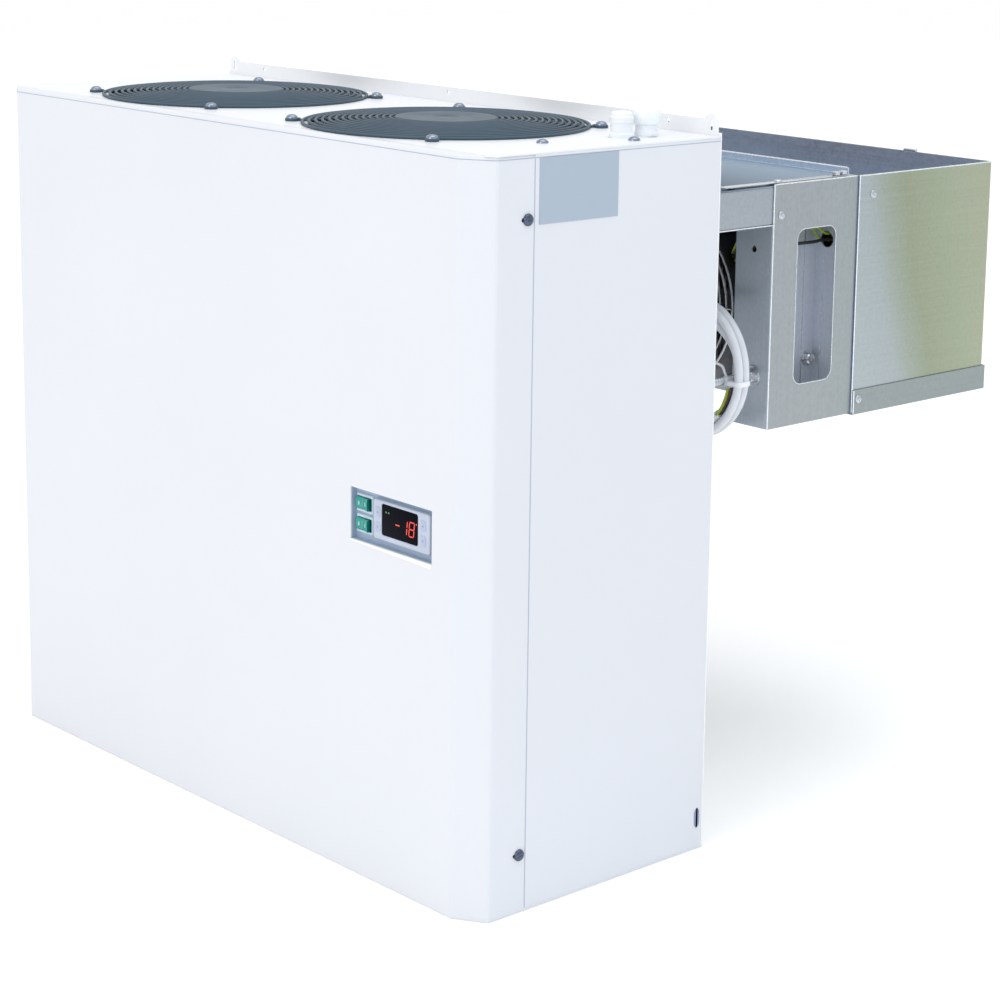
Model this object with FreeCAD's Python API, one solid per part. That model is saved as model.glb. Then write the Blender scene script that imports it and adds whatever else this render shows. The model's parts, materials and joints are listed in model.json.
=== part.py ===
import FreeCAD, Part
import math
import os

# Straddle refrigeration unit: a condensing cabinet outside the cold room, an evaporator inside it,
# and a bridge over the top of the wall that passes between them.
# Millimetres. Origin: centre of the cabinet's base. +X right, +Y back to the evaporator, +Z up.

V = FreeCAD.Vector
X, Y, Z = V(1, 0, 0), V(0, 1, 0), V(0, 0, 1)

# Cabinet casing
cab_w = 730.0
cab_d = 275.0
cab_h = 650.0
sheet = 1.5
base_t = 2.0
base_flange = 25.0
corner_x = 29.0          # chamfered front corner, along the front
corner_y = 18.0          # and along the side
return_len = 40.0        # front panel's return along the side, up to the seam
bend_r = 3.0             # inside radius of the casing's bends
top_edge_r = 5.0         # rounded top edge of the front panel
front_strip = 13.0       # how far the front panel folds over the top
jamb_w = 26.0            # strip behind the front panel's return
jamb_lap = 4.0
top_flange = 15.0
upstand_h = 14.0         # rear panel above the top
upstand_hole_r = 2.3
upstand_hole_dx = cab_w / 2 - 65.0
tab_w = 16.0
tab_h = 19.0
tab_x = cab_w / 2 - 12.0
tab_slot_w = 3.5
tab_slot_h = 10.0
panel_screw_z = (52.0, cab_h - 54.0)
panel_screw_y = 12.0     # from the front panel's seam edge
screw_r = 4.5
screw_head_h = 2.6
screw_shank_r = 2.0
screw_shank_l = 5.0

# Base openings for the condenser's air
intake_y = 200.0
intake_left = (20.0 - cab_w / 2, 97.0 - cab_w / 2)
intake_right = (cab_w / 2 - 240.0, cab_w / 2 - 110.0)
intake_corner_r = 8.0

# Condenser fans on the top
fan_dx = 159.0           # each fan from the middle of the top
fan_r = 118.0
fan_tip_gap = 4.0
fan_hub_r = 46.0
fan_hub_h = 34.0
fan_blades = 5
blade_t = 1.8
blade_rows = 2
collar_h = 14.0
guard_pitch = 97.0       # half the square of the guard's screws
guard_rings = 4
guard_rim_r = 127.0
guard_plate_r = 46.0
guard_rise = 10.0
guard_wire = 2.6
guard_seat = 1.4         # underside of the guard's rim over the top panel
guard_sides = 20
stator_r = 43.0
stator_h = 18.0
shaft_r = 4.0
run_gap = 0.05           # radial clearance of a shaft in its bore
rotor_gap = 1.0

# Condenser coil under the fans
coil_x1 = cab_w / 2 - 99.0
coil_y = (19.5 - cab_d / 2, cab_d / 2 - 33.5)
coil_z = (cab_h - 120.0, cab_h - 62.0)
coil_fins = 18
coil_web = 14.0
fin_t = 4.0
end_plate_t = 2.0

# Partition and electrical box
partition_y0 = -60.0
ebox_w = 86.0
ebox_d = cab_d - 155.0
ebox_z = (200.0, 480.0)

# Compressor on the base
comp_x = -150.0
comp_r = 92.0
comp_h = 250.0
comp_foot_dx = 95.0
comp_foot_dy = 72.0
foot_plate_t = 3.0
grommet_h = 20.0
grommet_r = 13.0
stub_r = 5.0
stub_h = 14.0
round_sides = 22         # flat sides of the larger hidden round pieces
pipe_sides = 6
small_sides = 12         # and of small or repeated ones
screw_sides = 8
duct_sides = 30
bend_steps = 2           # straight runs in each bend of a pipe or cord

# Liquid receiver, drier and pipes
receiver_x, receiver_y = 60.0, 55.0
receiver_r = 42.0
receiver_h = 200.0
receiver_foot_t = 4.0
drier_r = 14.0
drier_l = 100.0
vessel_stub = 10.0       # pipe stubs over the receiver
pipe_r = 4.0
suction_r = 8.0
pipe_y = cab_d / 2 - 17.5   # pipes run up behind the coil
suction_x = -20.0
liquid_x = 40.0
pipe_clear = 0.3

# Controls in the front
ctl_x = (cab_w / 2 - 166.0, cab_w / 2 - 57.0)
ctl_z = (304.0, 350.0)
ctl_recess = 5.0
bezel_rim = 5.0
bezel_plate = 2.0
facia_x = (ctl_x[0] + 28.5, ctl_x[1] - 5.0)
facia_z = (ctl_z[0] + 6.0, ctl_z[1] - 5.0)
facia_t = 4.6
facia_r = 2.0
module_w = 70.0
module_h = 28.0
module_l = 58.0
glass_x = (facia_x[0] + 12.0, facia_x[1] - 16.5)
glass_z = (facia_z[0] + 5.5, facia_z[1] - 3.5)
glass_t = 1.0
key_w = 6.6
key_h = 9.0
key_t = 1.6
key_travel = 0.5
key_gap = 0.3
key_dz = 13.0
switch_x = ctl_x[0] + 13.5
switch_z = (ctl_z[1] - 13.5, ctl_z[0] + 14.0)
switch_w = 21.0
switch_h = 15.0
switch_rim = 2.0
switch_flange = 2.0
switch_depth = 18.0
rocker_gap = 0.4
rocker_tilt = 7.0
rocker_rise = 3.2        # crest of the rocker over its flange
rocker_dip = 1.2
rocker_depth = 5.0

# Caps on the top, plate on the side
cap_at = ((cab_w / 2 - 47.0, 55.0), (cab_w / 2 - 35.0, 84.0))
cap_r = 9.5
cap_h = 20.0
cap_base_r = 11.0
cap_base_h = 4.0
cap_stub_r = 6.0
cap_stub_l = 6.0
plate_y = (-74.5, 14.0)
plate_z = (cab_h - 59.0, cab_h - 4.5)
plate_t = 0.5

# Wall gap, bridge and evaporator
wall_gap = 105.0
evap_inset = 32.0        # evaporator's side inside the cabinet's
bay_len = 128.0          # fan bay
hood_len = 188.0
evap_z1 = cab_h - 53.0
evap_z0 = evap_z1 - 228.0
bridge_z0 = evap_z1 - 38.0
pipe_z = bridge_z0 + 18.0   # pipes through the bridge
flange_w = 46.0
bracket_top_flange = 18.0
window_y = (33.0, 86.0)  # from the wall flange
window_z = (evap_z0 + 38.0, evap_z0 + 184.0)
window_r = 8.0
flange_hole_z = evap_z0 + 166.0
flange_hole_x = cab_w / 2 - 55.5
flange_hole_r = 3.2
rod_x = cab_w / 2 - 52.5
rod_z = evap_z0 + 48.0
rod_r = 4.0
rod_hole_gap = 0.4
rod_end = 12.0
nut_af = 13.0
nut_t = 6.5
washer_r = 10.0
washer_t = 1.6
lid_lip = 6.0
lid_inset_y = 2.5
foam_end = 40.0          # foam stops this far before the end of the fan bay
shroud_y = 98.0          # fan plate from the wall flange
shroud_x = cab_w / 2 - 65.0
shroud_flange = 56.0
evap_fan_x = 155.0
evap_fan_z = evap_z0 + 95.0
evap_fan_r = 82.0
evap_hub_r = 30.0
evap_tip_gap = 3.0
frame_wall = 3.5
frame_len = 50.0
frame_ear = 10.0
evap_guard_rings = 2
evap_guard_sides = 16
evap_guard_wire = 2.0
hood_lap = 12.0          # hood over the end of the brackets
hood_bend_r = 2.0
outlet_x = cab_w / 2 - 75.0
outlet_z = (evap_z0 + 23.0, evap_z0 + 184.0)
hood_plate_z = evap_z0 + 192.0
hood_plate_flange = 12.0
tray_lip = 24.0
evap_coil_x = cab_w / 2 - 67.0
evap_coil_y = (12.0, 122.0)   # from the start of the hood
evap_coil_z1 = evap_z0 + 187.0
evap_coil_z0 = evap_z0 + 15.0
evap_fins = 18
evap_web = 18.0
bend_tube_r = 5.0
bend_pitch = 40.0
bend_space = 28.0
drain_x = -180.0
drain_r = 10.0
drain_wall = 1.5
drain_l = 20.0

# Supply cord, coiled and tied to the right clamp rod
cord_d = 8.0
ring_x, ring_y, ring_z = rod_x - 44.0, cab_d / 2 + 69.5, rod_z + 7.0
ring_out_r = 68.0
gland_z = bridge_z0 - 21.0
gland_r = 11.0
gland_l = 13.5
tie_w = 9.0
tie_t = 1.5
lead_r = 1.6
lead_z = evap_z0 + 167.0 # fan leads through the right bracket's window
lead_x = cab_w / 2 - 52.0
core_r = 1.4

# Derived places
half_w, half_d = cab_w / 2, cab_d / 2
inner_x, inner_y = half_w - sheet, half_d - sheet
seam_y = -half_d + corner_y + return_len
y_flange = half_d + wall_gap
y_hood = y_flange + bay_len
y_end = y_hood + hood_len
evap_x = half_w - evap_inset
hood_x = evap_x + sheet
tray_x = hood_x + sheet
bridge_x = evap_x - sheet
lid_z = evap_z1 - 2 * sheet
fan_x = (-fan_dx, fan_dx)
duct_r = fan_r + fan_tip_gap
guard_z = cab_h + guard_seat
plate_top_z = guard_z + guard_rise + guard_wire / 2
stator_z1 = plate_top_z - guard_wire
stator_z0 = stator_z1 - stator_h
hub_z1 = stator_z0 - rotor_gap
recess_y = -inner_y + ctl_recess
vessel_top = base_t + receiver_foot_t + receiver_h + vessel_stub
free_run = coil_z[0] - vessel_top - drier_l     # pipe left between receiver, drier and coil
drier_z = (vessel_top + 0.4 * free_run, vessel_top + 0.4 * free_run + drier_l)


def box(x, y, z):
    return Part.makeBox(x[1] - x[0], y[1] - y[0], z[1] - z[0], V(x[0], y[0], z[0]))


def cyl(r, base, axis, length):
    return Part.makeCylinder(r, length, base, axis)


def section(r, at, axis, sides):
    """Regular polygon across an axis."""
    u = axis.cross(X if abs(axis.x) < 0.9 else Y).normalize()
    v = axis.cross(u)
    pts = []
    for i in range(sides):
        a = 2 * math.pi * (i + 0.5) / sides
        pts.append(at + u * (r * math.cos(a)) + v * (r * math.sin(a)))
    return Part.Face(Part.makePolygon(pts + pts[:1]))


def bar(r, base, axis, length, sides):
    """Round piece drawn with flat sides, to keep small and repeated pieces light."""
    return section(r, base, axis, sides).extrude(axis * length)


def skin(loops):
    """Solid between loops of points, closed by a flat face at each end."""
    faces = [Part.Face(Part.makePolygon(ends + ends[:1])) for ends in (loops[0], loops[-1])]
    for low, high in zip(loops, loops[1:]):
        for i in range(len(low)):
            j = (i + 1) % len(low)
            faces.append(Part.Face(Part.makePolygon([low[i], low[j], high[j], high[i], low[i]])))
    solid = Part.Solid(Part.Shell(faces))
    if solid.Volume < 0:
        solid.reverse()
    return solid


def turned(profile, sides):
    """Turned piece drawn with flat sides: profile is (radius, height) from the bottom to the top."""
    step = 2 * math.pi / sides
    return skin([[V(r * math.cos(i * step), r * math.sin(i * step), z) for i in range(sides)]
                 for r, z in profile])


def fuse(shapes):
    return shapes[0].fuse(shapes[1:]).removeSplitter() if len(shapes) > 1 else shapes[0]


def mirror_x(shape):
    return shape.mirror(V(0, 0, 0), X)


def plate_with_corners(u, v, r, depth, place):
    """Rectangle with round corners, u by v, extruded; place turns the drawing's XY into the part."""
    (u0, u1), (v0, v1) = u, v
    pts = [V(u0, v0, 0), V(u1, v0, 0), V(u1, v1, 0), V(u0, v1, 0)]
    block = Part.Face(Part.makePolygon(pts + pts[:1])).extrude(V(0, 0, depth))
    upright = [e for e in block.Edges if abs(e.tangentAt(e.FirstParameter).z) > 0.9]
    block = block.makeFillet(r, upright)
    block.Placement = place
    return block


def facing_y(y):
    """Drawing X stays X, drawing Y becomes Z, and the extrusion runs along -Y from y."""
    return FreeCAD.Placement(V(0, y, 0), FreeCAD.Rotation(X, 90))


def facing_x(x):
    """Drawing X becomes Y, drawing Y becomes Z, and the extrusion runs along +X from x."""
    return FreeCAD.Placement(V(x, 0, 0), FreeCAD.Rotation(V(1, 1, 1), 120))


def rounded_path(points, radii):
    """Edges of straight runs joined by tangent arcs, one radius for each inner point."""
    edges, last = [], points[0]
    for i, r in enumerate(radii, start=1):
        p = points[i]
        a = (points[i - 1] - p).normalize()
        b = (points[i + 1] - p).normalize()
        half = (math.pi - a.getAngle(b)) / 2
        reach = r * math.tan(half)
        mid = p + (a + b).normalize() * (r / math.cos(half) - r)
        edges.append(Part.LineSegment(last, p + a * reach).toShape())
        edges.append(Part.Arc(p + a * reach, mid, p + b * reach).toShape())
        last = p + b * reach
    edges.append(Part.LineSegment(last, points[-1]).toShape())
    return edges


def bent_sheet(path, inside_r, length):
    """Sheet to the left of a path in XY, bent at its corners and extruded along +Z."""
    pts = [V(x, y, 0) for x, y in path]
    left = []
    for a, b in zip(pts, pts[1:]):
        d = (b - a).normalize()
        left.append(V(-d.y, d.x, 0))
    other = [pts[0] + left[0] * sheet]
    near_r, far_r = [], []
    for i in range(1, len(pts) - 1):
        m, n = left[i - 1], left[i]
        other.append(pts[i] + (m + n) * (sheet / (1 + m.dot(n))))
        turns_left = m.cross(n).z > 0
        near_r.append(inside_r + sheet if turns_left else inside_r)
        far_r.append(inside_r if turns_left else inside_r + sheet)
    other.append(pts[-1] + left[-1] * sheet)
    edges = rounded_path(pts, near_r) + rounded_path(other, far_r)
    edges.append(Part.LineSegment(pts[0], other[0]).toShape())
    edges.append(Part.LineSegment(pts[-1], other[-1]).toShape())
    wire = Part.Wire(Part.__sortEdges__(edges))
    return Part.Face(wire).extrude(V(0, 0, length))


def tube(points, radii, r, sides):
    """Rod or pipe with flat sides along straight runs and bends, each bend in a few straight steps."""
    path = [points[0]]
    for i, bend in enumerate(radii, start=1):
        p = points[i]
        a = (points[i - 1] - p).normalize()
        b = (points[i + 1] - p).normalize()
        half = (math.pi - a.getAngle(b)) / 2
        centre = p + (a + b).normalize() * (bend / math.cos(half))
        start = p + a * (bend * math.tan(half)) - centre
        axis = b.cross(a).normalize()
        for k in range(bend_steps + 1):
            turn = FreeCAD.Rotation(axis, math.degrees(2 * half) * k / bend_steps)
            path.append(centre + turn.multVec(start))
    path.append(points[-1])
    runs = [(b - a).normalize() for a, b in zip(path, path[1:])]
    first = section(r, path[0], runs[0], sides)
    loops = [[v.Point for v in first.OuterWire.OrderedVertexes]]
    for i, at in enumerate(path[1:], start=1):
        run = runs[i - 1]
        mitre = run + runs[i] if i < len(runs) else run
        loops.append([v + run * ((at - v).dot(mitre) / run.dot(mitre)) for v in loops[-1]])
    return skin(loops)


# Casing

def cabinet_outline():
    """Plan of the cabinet with its two chamfered front corners."""
    outline = [(-half_w, half_d), (-half_w, -half_d + corner_y), (-half_w + corner_x, -half_d),
               (half_w - corner_x, -half_d), (half_w, -half_d + corner_y), (half_w, half_d)]
    pts = [V(x, y, 0) for x, y in outline]
    return Part.Face(Part.makePolygon(pts + pts[:1]))


def base_tray():
    plate = cabinet_outline().extrude(V(0, 0, base_t))
    top = (base_t, base_t + base_flange)
    side = box((inner_x - sheet, inner_x), (seam_y + jamb_lap + 4, inner_y - sheet), top)
    back = box((-inner_x + 4, inner_x - 4), (inner_y - sheet, inner_y), top)
    front = box((-half_w + corner_x + 4, half_w - corner_x - 4), (-inner_y, -inner_y + sheet), top)
    tray = fuse([plate, side, mirror_x(side), back, front])
    for span in (intake_left, intake_right):
        slot = plate_with_corners(span, (-intake_y / 2, intake_y / 2), intake_corner_r, base_t,
                                  FreeCAD.Placement())
        tray = tray.cut(slot)
    return tray


def front_panel():
    """Wrapped front: chamfered corners, side returns, a fold over the top and the control cut-out."""
    def wrap(inset, top, r, top_r):
        hw, hd = half_w - inset, half_d - inset
        slope = inset * math.tan(math.atan2(corner_y, corner_x) / 2)
        outline = [(-hw, seam_y), (-hw, -half_d + corner_y + inset - slope),
                   (-half_w + corner_x + slope, -hd), (half_w - corner_x - slope, -hd),
                   (hw, -half_d + corner_y + inset - slope), (hw, seam_y)]
        low = base_t - (sheet if inset else 0)
        pts = [V(x, y + (0.0 if y < seam_y else (sheet if inset else 0)), low) for x, y in outline]
        block = Part.Face(Part.makePolygon(pts + pts[:1])).extrude(V(0, 0, top - low))
        bends = [e for e in block.Edges if abs(e.tangentAt(e.FirstParameter).z) > 0.9
                 and e.CenterOfMass.y < seam_y - 1]
        block = block.makeFillet(r, bends)
        rim = [e for e in block.Edges if abs(e.CenterOfMass.z - top) < 0.01
               and e.CenterOfMass.y < seam_y - 1]
        return block.makeFillet(top_r, rim) if top_r else block

    outer = wrap(0.0, cab_h, bend_r + sheet, top_edge_r)
    panel = outer.cut(wrap(sheet, cab_h - sheet, bend_r, 0.0))
    behind = -half_d + front_strip
    panel = panel.cut(box((-cab_w, cab_w), (behind, half_d), (cab_h - sheet, cab_h + 1)))
    panel = panel.cut(box(ctl_x, (-half_d - 1, -inner_y + 1), ctl_z))
    for z in panel_screw_z:
        panel = panel.cut(bar(screw_shank_r, V(-cab_w, seam_y - panel_screw_y, z), X, 2 * cab_w, screw_sides))
    return panel


def side_panel():
    """Right side: flat sheet with a jamb strip for the front panel's screws."""
    skin = box((inner_x, half_w), (seam_y + 0.2, inner_y), (base_t, cab_h - sheet))
    jamb = box((inner_x - sheet, inner_x), (seam_y + jamb_lap - jamb_w, seam_y + jamb_lap),
               (base_t, cab_h - sheet - top_flange))
    panel = fuse([skin, jamb])
    for z in panel_screw_z:
        panel = panel.cut(bar(screw_shank_r, V(0, seam_y - panel_screw_y, z), X, cab_w, screw_sides))
    return panel


def rear_panel():
    """Back sheet with its drilled upstand, two slotted tabs and the ways through to the bridge."""
    sheet_y = (inner_y, half_d)
    panel = box((-half_w, half_w), sheet_y, (base_t, cab_h + upstand_h))
    parts = [panel]
    for side in (-1, 1):
        cx = side * tab_x
        tab = plate_with_corners((cx - tab_w / 2, cx + tab_w / 2), (cab_h, cab_h + tab_h), tab_w / 2 - 1,
                                 sheet, facing_y(half_d))
        parts += [tab, box((cx - tab_w / 2, cx + tab_w / 2), sheet_y, (cab_h, cab_h + upstand_h))]
    panel = fuse(parts)
    corner = upstand_h - 3
    for side in (-1, 1):
        end = side * half_w
        clear = sorted((end, side * (tab_x + tab_w / 2)))
        panel = panel.cut(box(clear, (inner_y - 1, half_d + 1), (cab_h + upstand_h - corner, cab_h + 50)))
    for side in (-1, 0, 1):
        panel = panel.cut(cyl(upstand_hole_r, V(side * upstand_hole_dx, 0, cab_h + upstand_h - 5), Y, cab_d))
    for side in (-1, 1):
        cx = side * tab_x
        slot_z = cab_h + tab_h - 5 - tab_slot_h
        slot = plate_with_corners((cx - tab_slot_w / 2, cx + tab_slot_w / 2), (slot_z, slot_z + tab_slot_h),
                                  tab_slot_w / 2 - 0.05, 3 * sheet, facing_y(half_d + sheet))
        panel = panel.cut(slot)
        panel = panel.cut(bar(rod_r + rod_hole_gap, V(side * rod_x, 0, rod_z), Y, cab_d, small_sides))
    way = plate_with_corners((suction_x - 30, liquid_x + 30), (pipe_z - 13, pipe_z + 13), 6.0,
                             3 * sheet, facing_y(half_d + sheet))
    gland_hole = bar(cord_d / 2 + 2, V(gland_x(), 0, gland_z), Y, cab_d, small_sides)
    return panel.cut(way).cut(gland_hole)


def top_panel():
    """Top sheet with turned-down flanges and two fan openings with a collar each."""
    z = (cab_h - sheet, cab_h)
    flange_z = (cab_h - sheet - top_flange, cab_h - sheet)
    deck = box((-half_w, half_w), (-half_d + front_strip, inner_y), z)
    deck = deck.common(cabinet_outline().extrude(V(0, 0, 2 * cab_h)))
    side = box((inner_x - sheet, inner_x), (seam_y + jamb_lap + 4, inner_y - sheet), flange_z)
    back = box((-inner_x + 4, inner_x - 4), (inner_y - sheet, inner_y), flange_z)
    wall = collar_h - sheet
    collars = [bar(duct_r + sheet, V(x, 0, cab_h - collar_h), Z, wall, duct_sides) for x in fan_x]
    top = fuse([deck, side, mirror_x(side), back] + collars)
    for x in fan_x:
        top = top.cut(bar(duct_r, V(x, 0, cab_h - collar_h - 1), Z, collar_h + 2, duct_sides))
        for sx in (-1, 1):
            for sy in (-1, 1):
                at = V(x + sx * guard_pitch, sy * guard_pitch, z[0] - 1)
                top = top.cut(bar(screw_shank_r * 1.5, at, Z, sheet + 2, 4))
    for x, y in cap_at:
        top = top.cut(bar(cap_stub_r + 0.3, V(x, y, z[0] - 1), Z, sheet + 2, small_sides))
    return top


def partition_panel():
    """Upright sheet that carries the coil's right end and the electrical box."""
    sheet_x = (coil_x1, coil_x1 + sheet)
    z = (base_t, coil_z[1] + 10)
    web = box(sheet_x, (partition_y0, inner_y - sheet), z)
    foot = box((coil_x1 + sheet, coil_x1 + sheet + 14), (partition_y0, inner_y - 10), (base_t, base_t + sheet))
    return fuse([web, foot])


# Condenser fans

def ring(r, z, wire, sides):
    """Guard ring of square wire, drawn with straight sides to keep it light."""
    def loop(radius):
        pts = [V(radius * math.cos(2 * math.pi * i / sides), radius * math.sin(2 * math.pi * i / sides), z)
               for i in range(sides)]
        return Part.Face(Part.makePolygon(pts + pts[:1])).extrude(V(0, 0, wire))
    return loop(r + wire / 2).cut(loop(r - wire / 2))


def guard_height(r):
    """The guard climbs steeply from its rim and is flat over the middle."""
    return guard_rise * (1 - (r / guard_rim_r) ** 6)


def condenser_guard(x):
    """Finger guard: rings on four arms, with a foot at each screw and the motor's plate in the middle."""
    step = (guard_rim_r - guard_plate_r) / guard_rings
    radii = [guard_rim_r - step * i for i in range(guard_rings)]
    parts = [ring(r, guard_z + guard_height(r) - guard_wire / 2, guard_wire, guard_sides) for r in radii]
    parts.append(bar(guard_plate_r, V(0, 0, plate_top_z - guard_wire), Z, guard_wire, guard_sides))
    reach = guard_pitch * math.sqrt(2)
    foot_top = cab_h + guard_wire
    upper = [V(r, 0, guard_z + guard_height(r) + 0.2) for r in [guard_plate_r - 3] + radii[::-1]]
    upper.append(V(reach, 0, foot_top))
    lower = [p - V(0, 0, guard_wire) for p in upper[::-1]]
    lower[0], lower[1] = V(reach, 0, cab_h), V(guard_rim_r + 3, 0, cab_h)
    arm = Part.Face(Part.makePolygon(upper + lower + upper[:1])).extrude(V(0, 2 * guard_wire, 0))
    arm.translate(V(0, -guard_wire, 0))
    foot = bar(screw_r + 1.5, V(reach, 0, cab_h), Z, guard_wire, screw_sides)
    hole = bar(screw_shank_r, V(reach, 0, cab_h - 1), Z, 20, screw_sides)
    for i in range(4):
        for piece in (arm, foot):
            parts.append(piece.rotated(V(0, 0, 0), Z, 45 + 90 * i))
    guard = fuse(parts)
    for i in range(4):
        guard = guard.cut(hole.rotated(V(0, 0, 0), Z, 45 + 90 * i))
    guard.translate(V(x, 0, 0))
    return guard


def condenser_motor(x):
    """Stator bolted under the guard's plate, with the shaft that the fan turns on."""
    body = bar(stator_r, V(x, 0, stator_z0), Z, stator_h, round_sides)
    shaft = cyl(shaft_r, V(x, 0, hub_z1 - fan_hub_h + 8), Z, stator_z0 - hub_z1 + fan_hub_h - 8)
    return fuse([body, shaft])


def blade(root_r, tip_r, chord, pitch, sweep):
    """Twisted, cambered and swept blade of thin facets: chord, pitch and lead change along the radius."""
    rows = []
    for k in range(blade_rows + 1):
        t = k / blade_rows
        r = root_r + t * (tip_r - root_r)
        width = chord[0] + t * (chord[1] - chord[0])
        turn = math.radians(pitch[0] + math.sqrt(t) * (pitch[1] - pitch[0]))
        lead = sweep * t * t
        c, s = math.cos(turn), math.sin(turn)
        row = []
        for thick in (0.0, blade_t):
            for u, v in ((-width / 2, 0.0), (0.0, 0.1 * width), (width / 2, 0.0)):
                v += thick
                row.append(V(r, lead + u * c - v * s, u * s + v * c))
        rows.append(row)
    faces = []

    def quad(a, b, c, d):
        for tri in ((a, b, c), (a, c, d)):
            faces.append(Part.Face(Part.makePolygon(list(tri) + [tri[0]])))

    for p, q in zip(rows, rows[1:]):
        for a, b in ((0, 1), (1, 2), (3, 4), (4, 5), (0, 3), (2, 5)):
            quad(p[a], p[b], q[b], q[a])
    for row in (rows[0], rows[-1]):
        quad(row[0], row[1], row[4], row[3])
        quad(row[1], row[2], row[5], row[4])
    solid = Part.Solid(Part.Shell(faces))
    if solid.Volume < 0:
        solid.reverse()
    return solid


def condenser_fan(x):
    """Rotor can with five twisted blades, bored for the stator's shaft."""
    low = hub_z1 - fan_hub_h
    can = bar(fan_hub_r, V(0, 0, low), Z, fan_hub_h, round_sides)
    one = blade(fan_hub_r - 5, fan_r - 8.5, (54.0, 82.0), (36.0, 20.0), 14.0)
    one.translate(V(0, 0, low + fan_hub_h / 2))
    blades = [one.rotated(V(0, 0, 0), Z, 360.0 * i / fan_blades) for i in range(fan_blades)]
    rotor = fuse([can] + blades)
    rotor = rotor.cut(cyl(shaft_r + run_gap, V(0, 0, low + 7), Z, fan_hub_h))
    rotor.translate(V(x, 0, 0))
    return rotor


# Coils

def fin_pack(length, depth, height, count, web):
    """Comb of fins on a web: drawn in XY with slots from both faces, extruded up to the height."""
    pitch = (length - fin_t) / (count - 1)
    arm = (depth - web) / 2
    lower, upper = [], []
    for i in range(count):
        x = i * pitch
        lower += [(x, 0), (x + fin_t, 0)]
        upper += [(x, depth), (x + fin_t, depth)]
        if i < count - 1:
            lower += [(x + fin_t, arm), (x + pitch, arm)]
            upper += [(x + fin_t, depth - arm), (x + pitch, depth - arm)]
    pts = [V(x, y, 0) for x, y in lower + upper[::-1]]
    return Part.Face(Part.makePolygon(pts + pts[:1])).extrude(V(0, 0, height))


def u_bend(gap, r):
    """Return bend of two stubs and a half circle, out along +X, its legs apart along Y."""
    out = 4.0 + gap / 2
    pts = [V(0, -gap / 2, 0), V(out, -gap / 2, 0), V(out, gap / 2, 0), V(0, gap / 2, 0)]
    return tube(pts, [gap / 2 - 2.0] * 2, r, pipe_sides)


def condenser_coil():
    """Fin pack with its end plates and return bends, lying flat under the fans."""
    x0 = -inner_x + sheet + 1
    y0, y1 = coil_y
    z0, z1 = coil_z
    fins_x0 = x0 + bend_space
    length = coil_x1 - end_plate_t - fins_x0
    pack = fin_pack(length, z1 - z0, y1 - y0, coil_fins, coil_web)
    pack.Placement = FreeCAD.Placement(V(fins_x0, y1, z0), FreeCAD.Rotation(X, 90))
    parts = [pack, box((x0, fins_x0), coil_y, (z0, z0 + end_plate_t))]
    for x in (fins_x0 - end_plate_t, coil_x1 - end_plate_t):
        parts.append(box((x, x + end_plate_t), coil_y, coil_z))
    count = int((y1 - y0) // (bend_pitch * 1.6))
    for i in range(count):
        bend = mirror_x(u_bend(bend_pitch * 0.7, bend_tube_r))
        bend.translate(V(fins_x0 - end_plate_t, y0 + (i + 0.5) * (y1 - y0) / count, (z0 + z1) / 2))
        parts.append(bend)
    return fuse(parts)


def evaporator_coil():
    """Upright fin pack between two footed end plates, with return bends at its right end."""
    y0, y1 = (y_hood + a for a in evap_coil_y)
    length = 2 * evap_coil_x
    pack = fin_pack(length, y1 - y0, evap_coil_z1 - evap_coil_z0, evap_fins, evap_web)
    pack.translate(V(-evap_coil_x, y0, evap_coil_z0))
    parts = [pack]
    for side in (-1, 1):
        x = sorted((side * evap_coil_x, side * (evap_coil_x + end_plate_t)))
        parts.append(box(x, (y0 - 4, y1 + 4), (evap_z0, hood_plate_z)))
    mid = (y0 + y1) / 2
    count = int((evap_coil_z1 - evap_coil_z0) // (1.4 * bend_pitch))
    for i in range(count):
        bend = u_bend(bend_pitch * 0.7, bend_tube_r).rotate(V(0, 0, 0), X, 90)
        z = evap_coil_z0 + (i + 0.5) * (evap_coil_z1 - evap_coil_z0) / count
        bend.translate(V(evap_coil_x + end_plate_t, mid, z))
        parts.append(bend)
    return fuse(parts)


# Compressor set

def foot_centres():
    return [V(comp_x + sx * comp_foot_dx, sy * comp_foot_dy, 0) for sx in (-1, 1) for sy in (-1, 1)]


def compressor():
    """Hermetic shell: two domed halves with a weld band, on its foot plate."""
    z0 = base_t + grommet_h + foot_plate_t
    r, h = comp_r, comp_h
    mid, band = h * 0.45, 3.0
    profile = [(r - 30, 0), (r - 9, 8), (r, 28), (r, mid), (r + band, mid), (r + band, mid + 8),
               (r, mid + 8), (r, h - 46), (r - 8, h - 26), (r - 30, h - 9), (r - 62, h)]
    shell = turned(profile, round_sides)
    shell.translate(V(comp_x, 0, z0))
    reach_x, reach_y = comp_foot_dx + 18, comp_foot_dy + 18
    foot = plate_with_corners((comp_x - reach_x, comp_x + reach_x), (-reach_y, reach_y), 14.0,
                              foot_plate_t, FreeCAD.Placement(V(0, 0, z0 - foot_plate_t), FreeCAD.Rotation()))
    stubs = [bar(stub_r, V(p.x, p.y, p.z - 60), Z, 60, pipe_sides) for p in stub_points()]
    return fuse([shell, foot] + stubs)


def stub_points():
    """Tops of the compressor's discharge and suction stubs."""
    top = base_t + grommet_h + foot_plate_t + comp_h
    return V(comp_x + 45, 30, top + stub_h - 10), V(comp_x - 45, 30, top + stub_h - 10)


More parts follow.
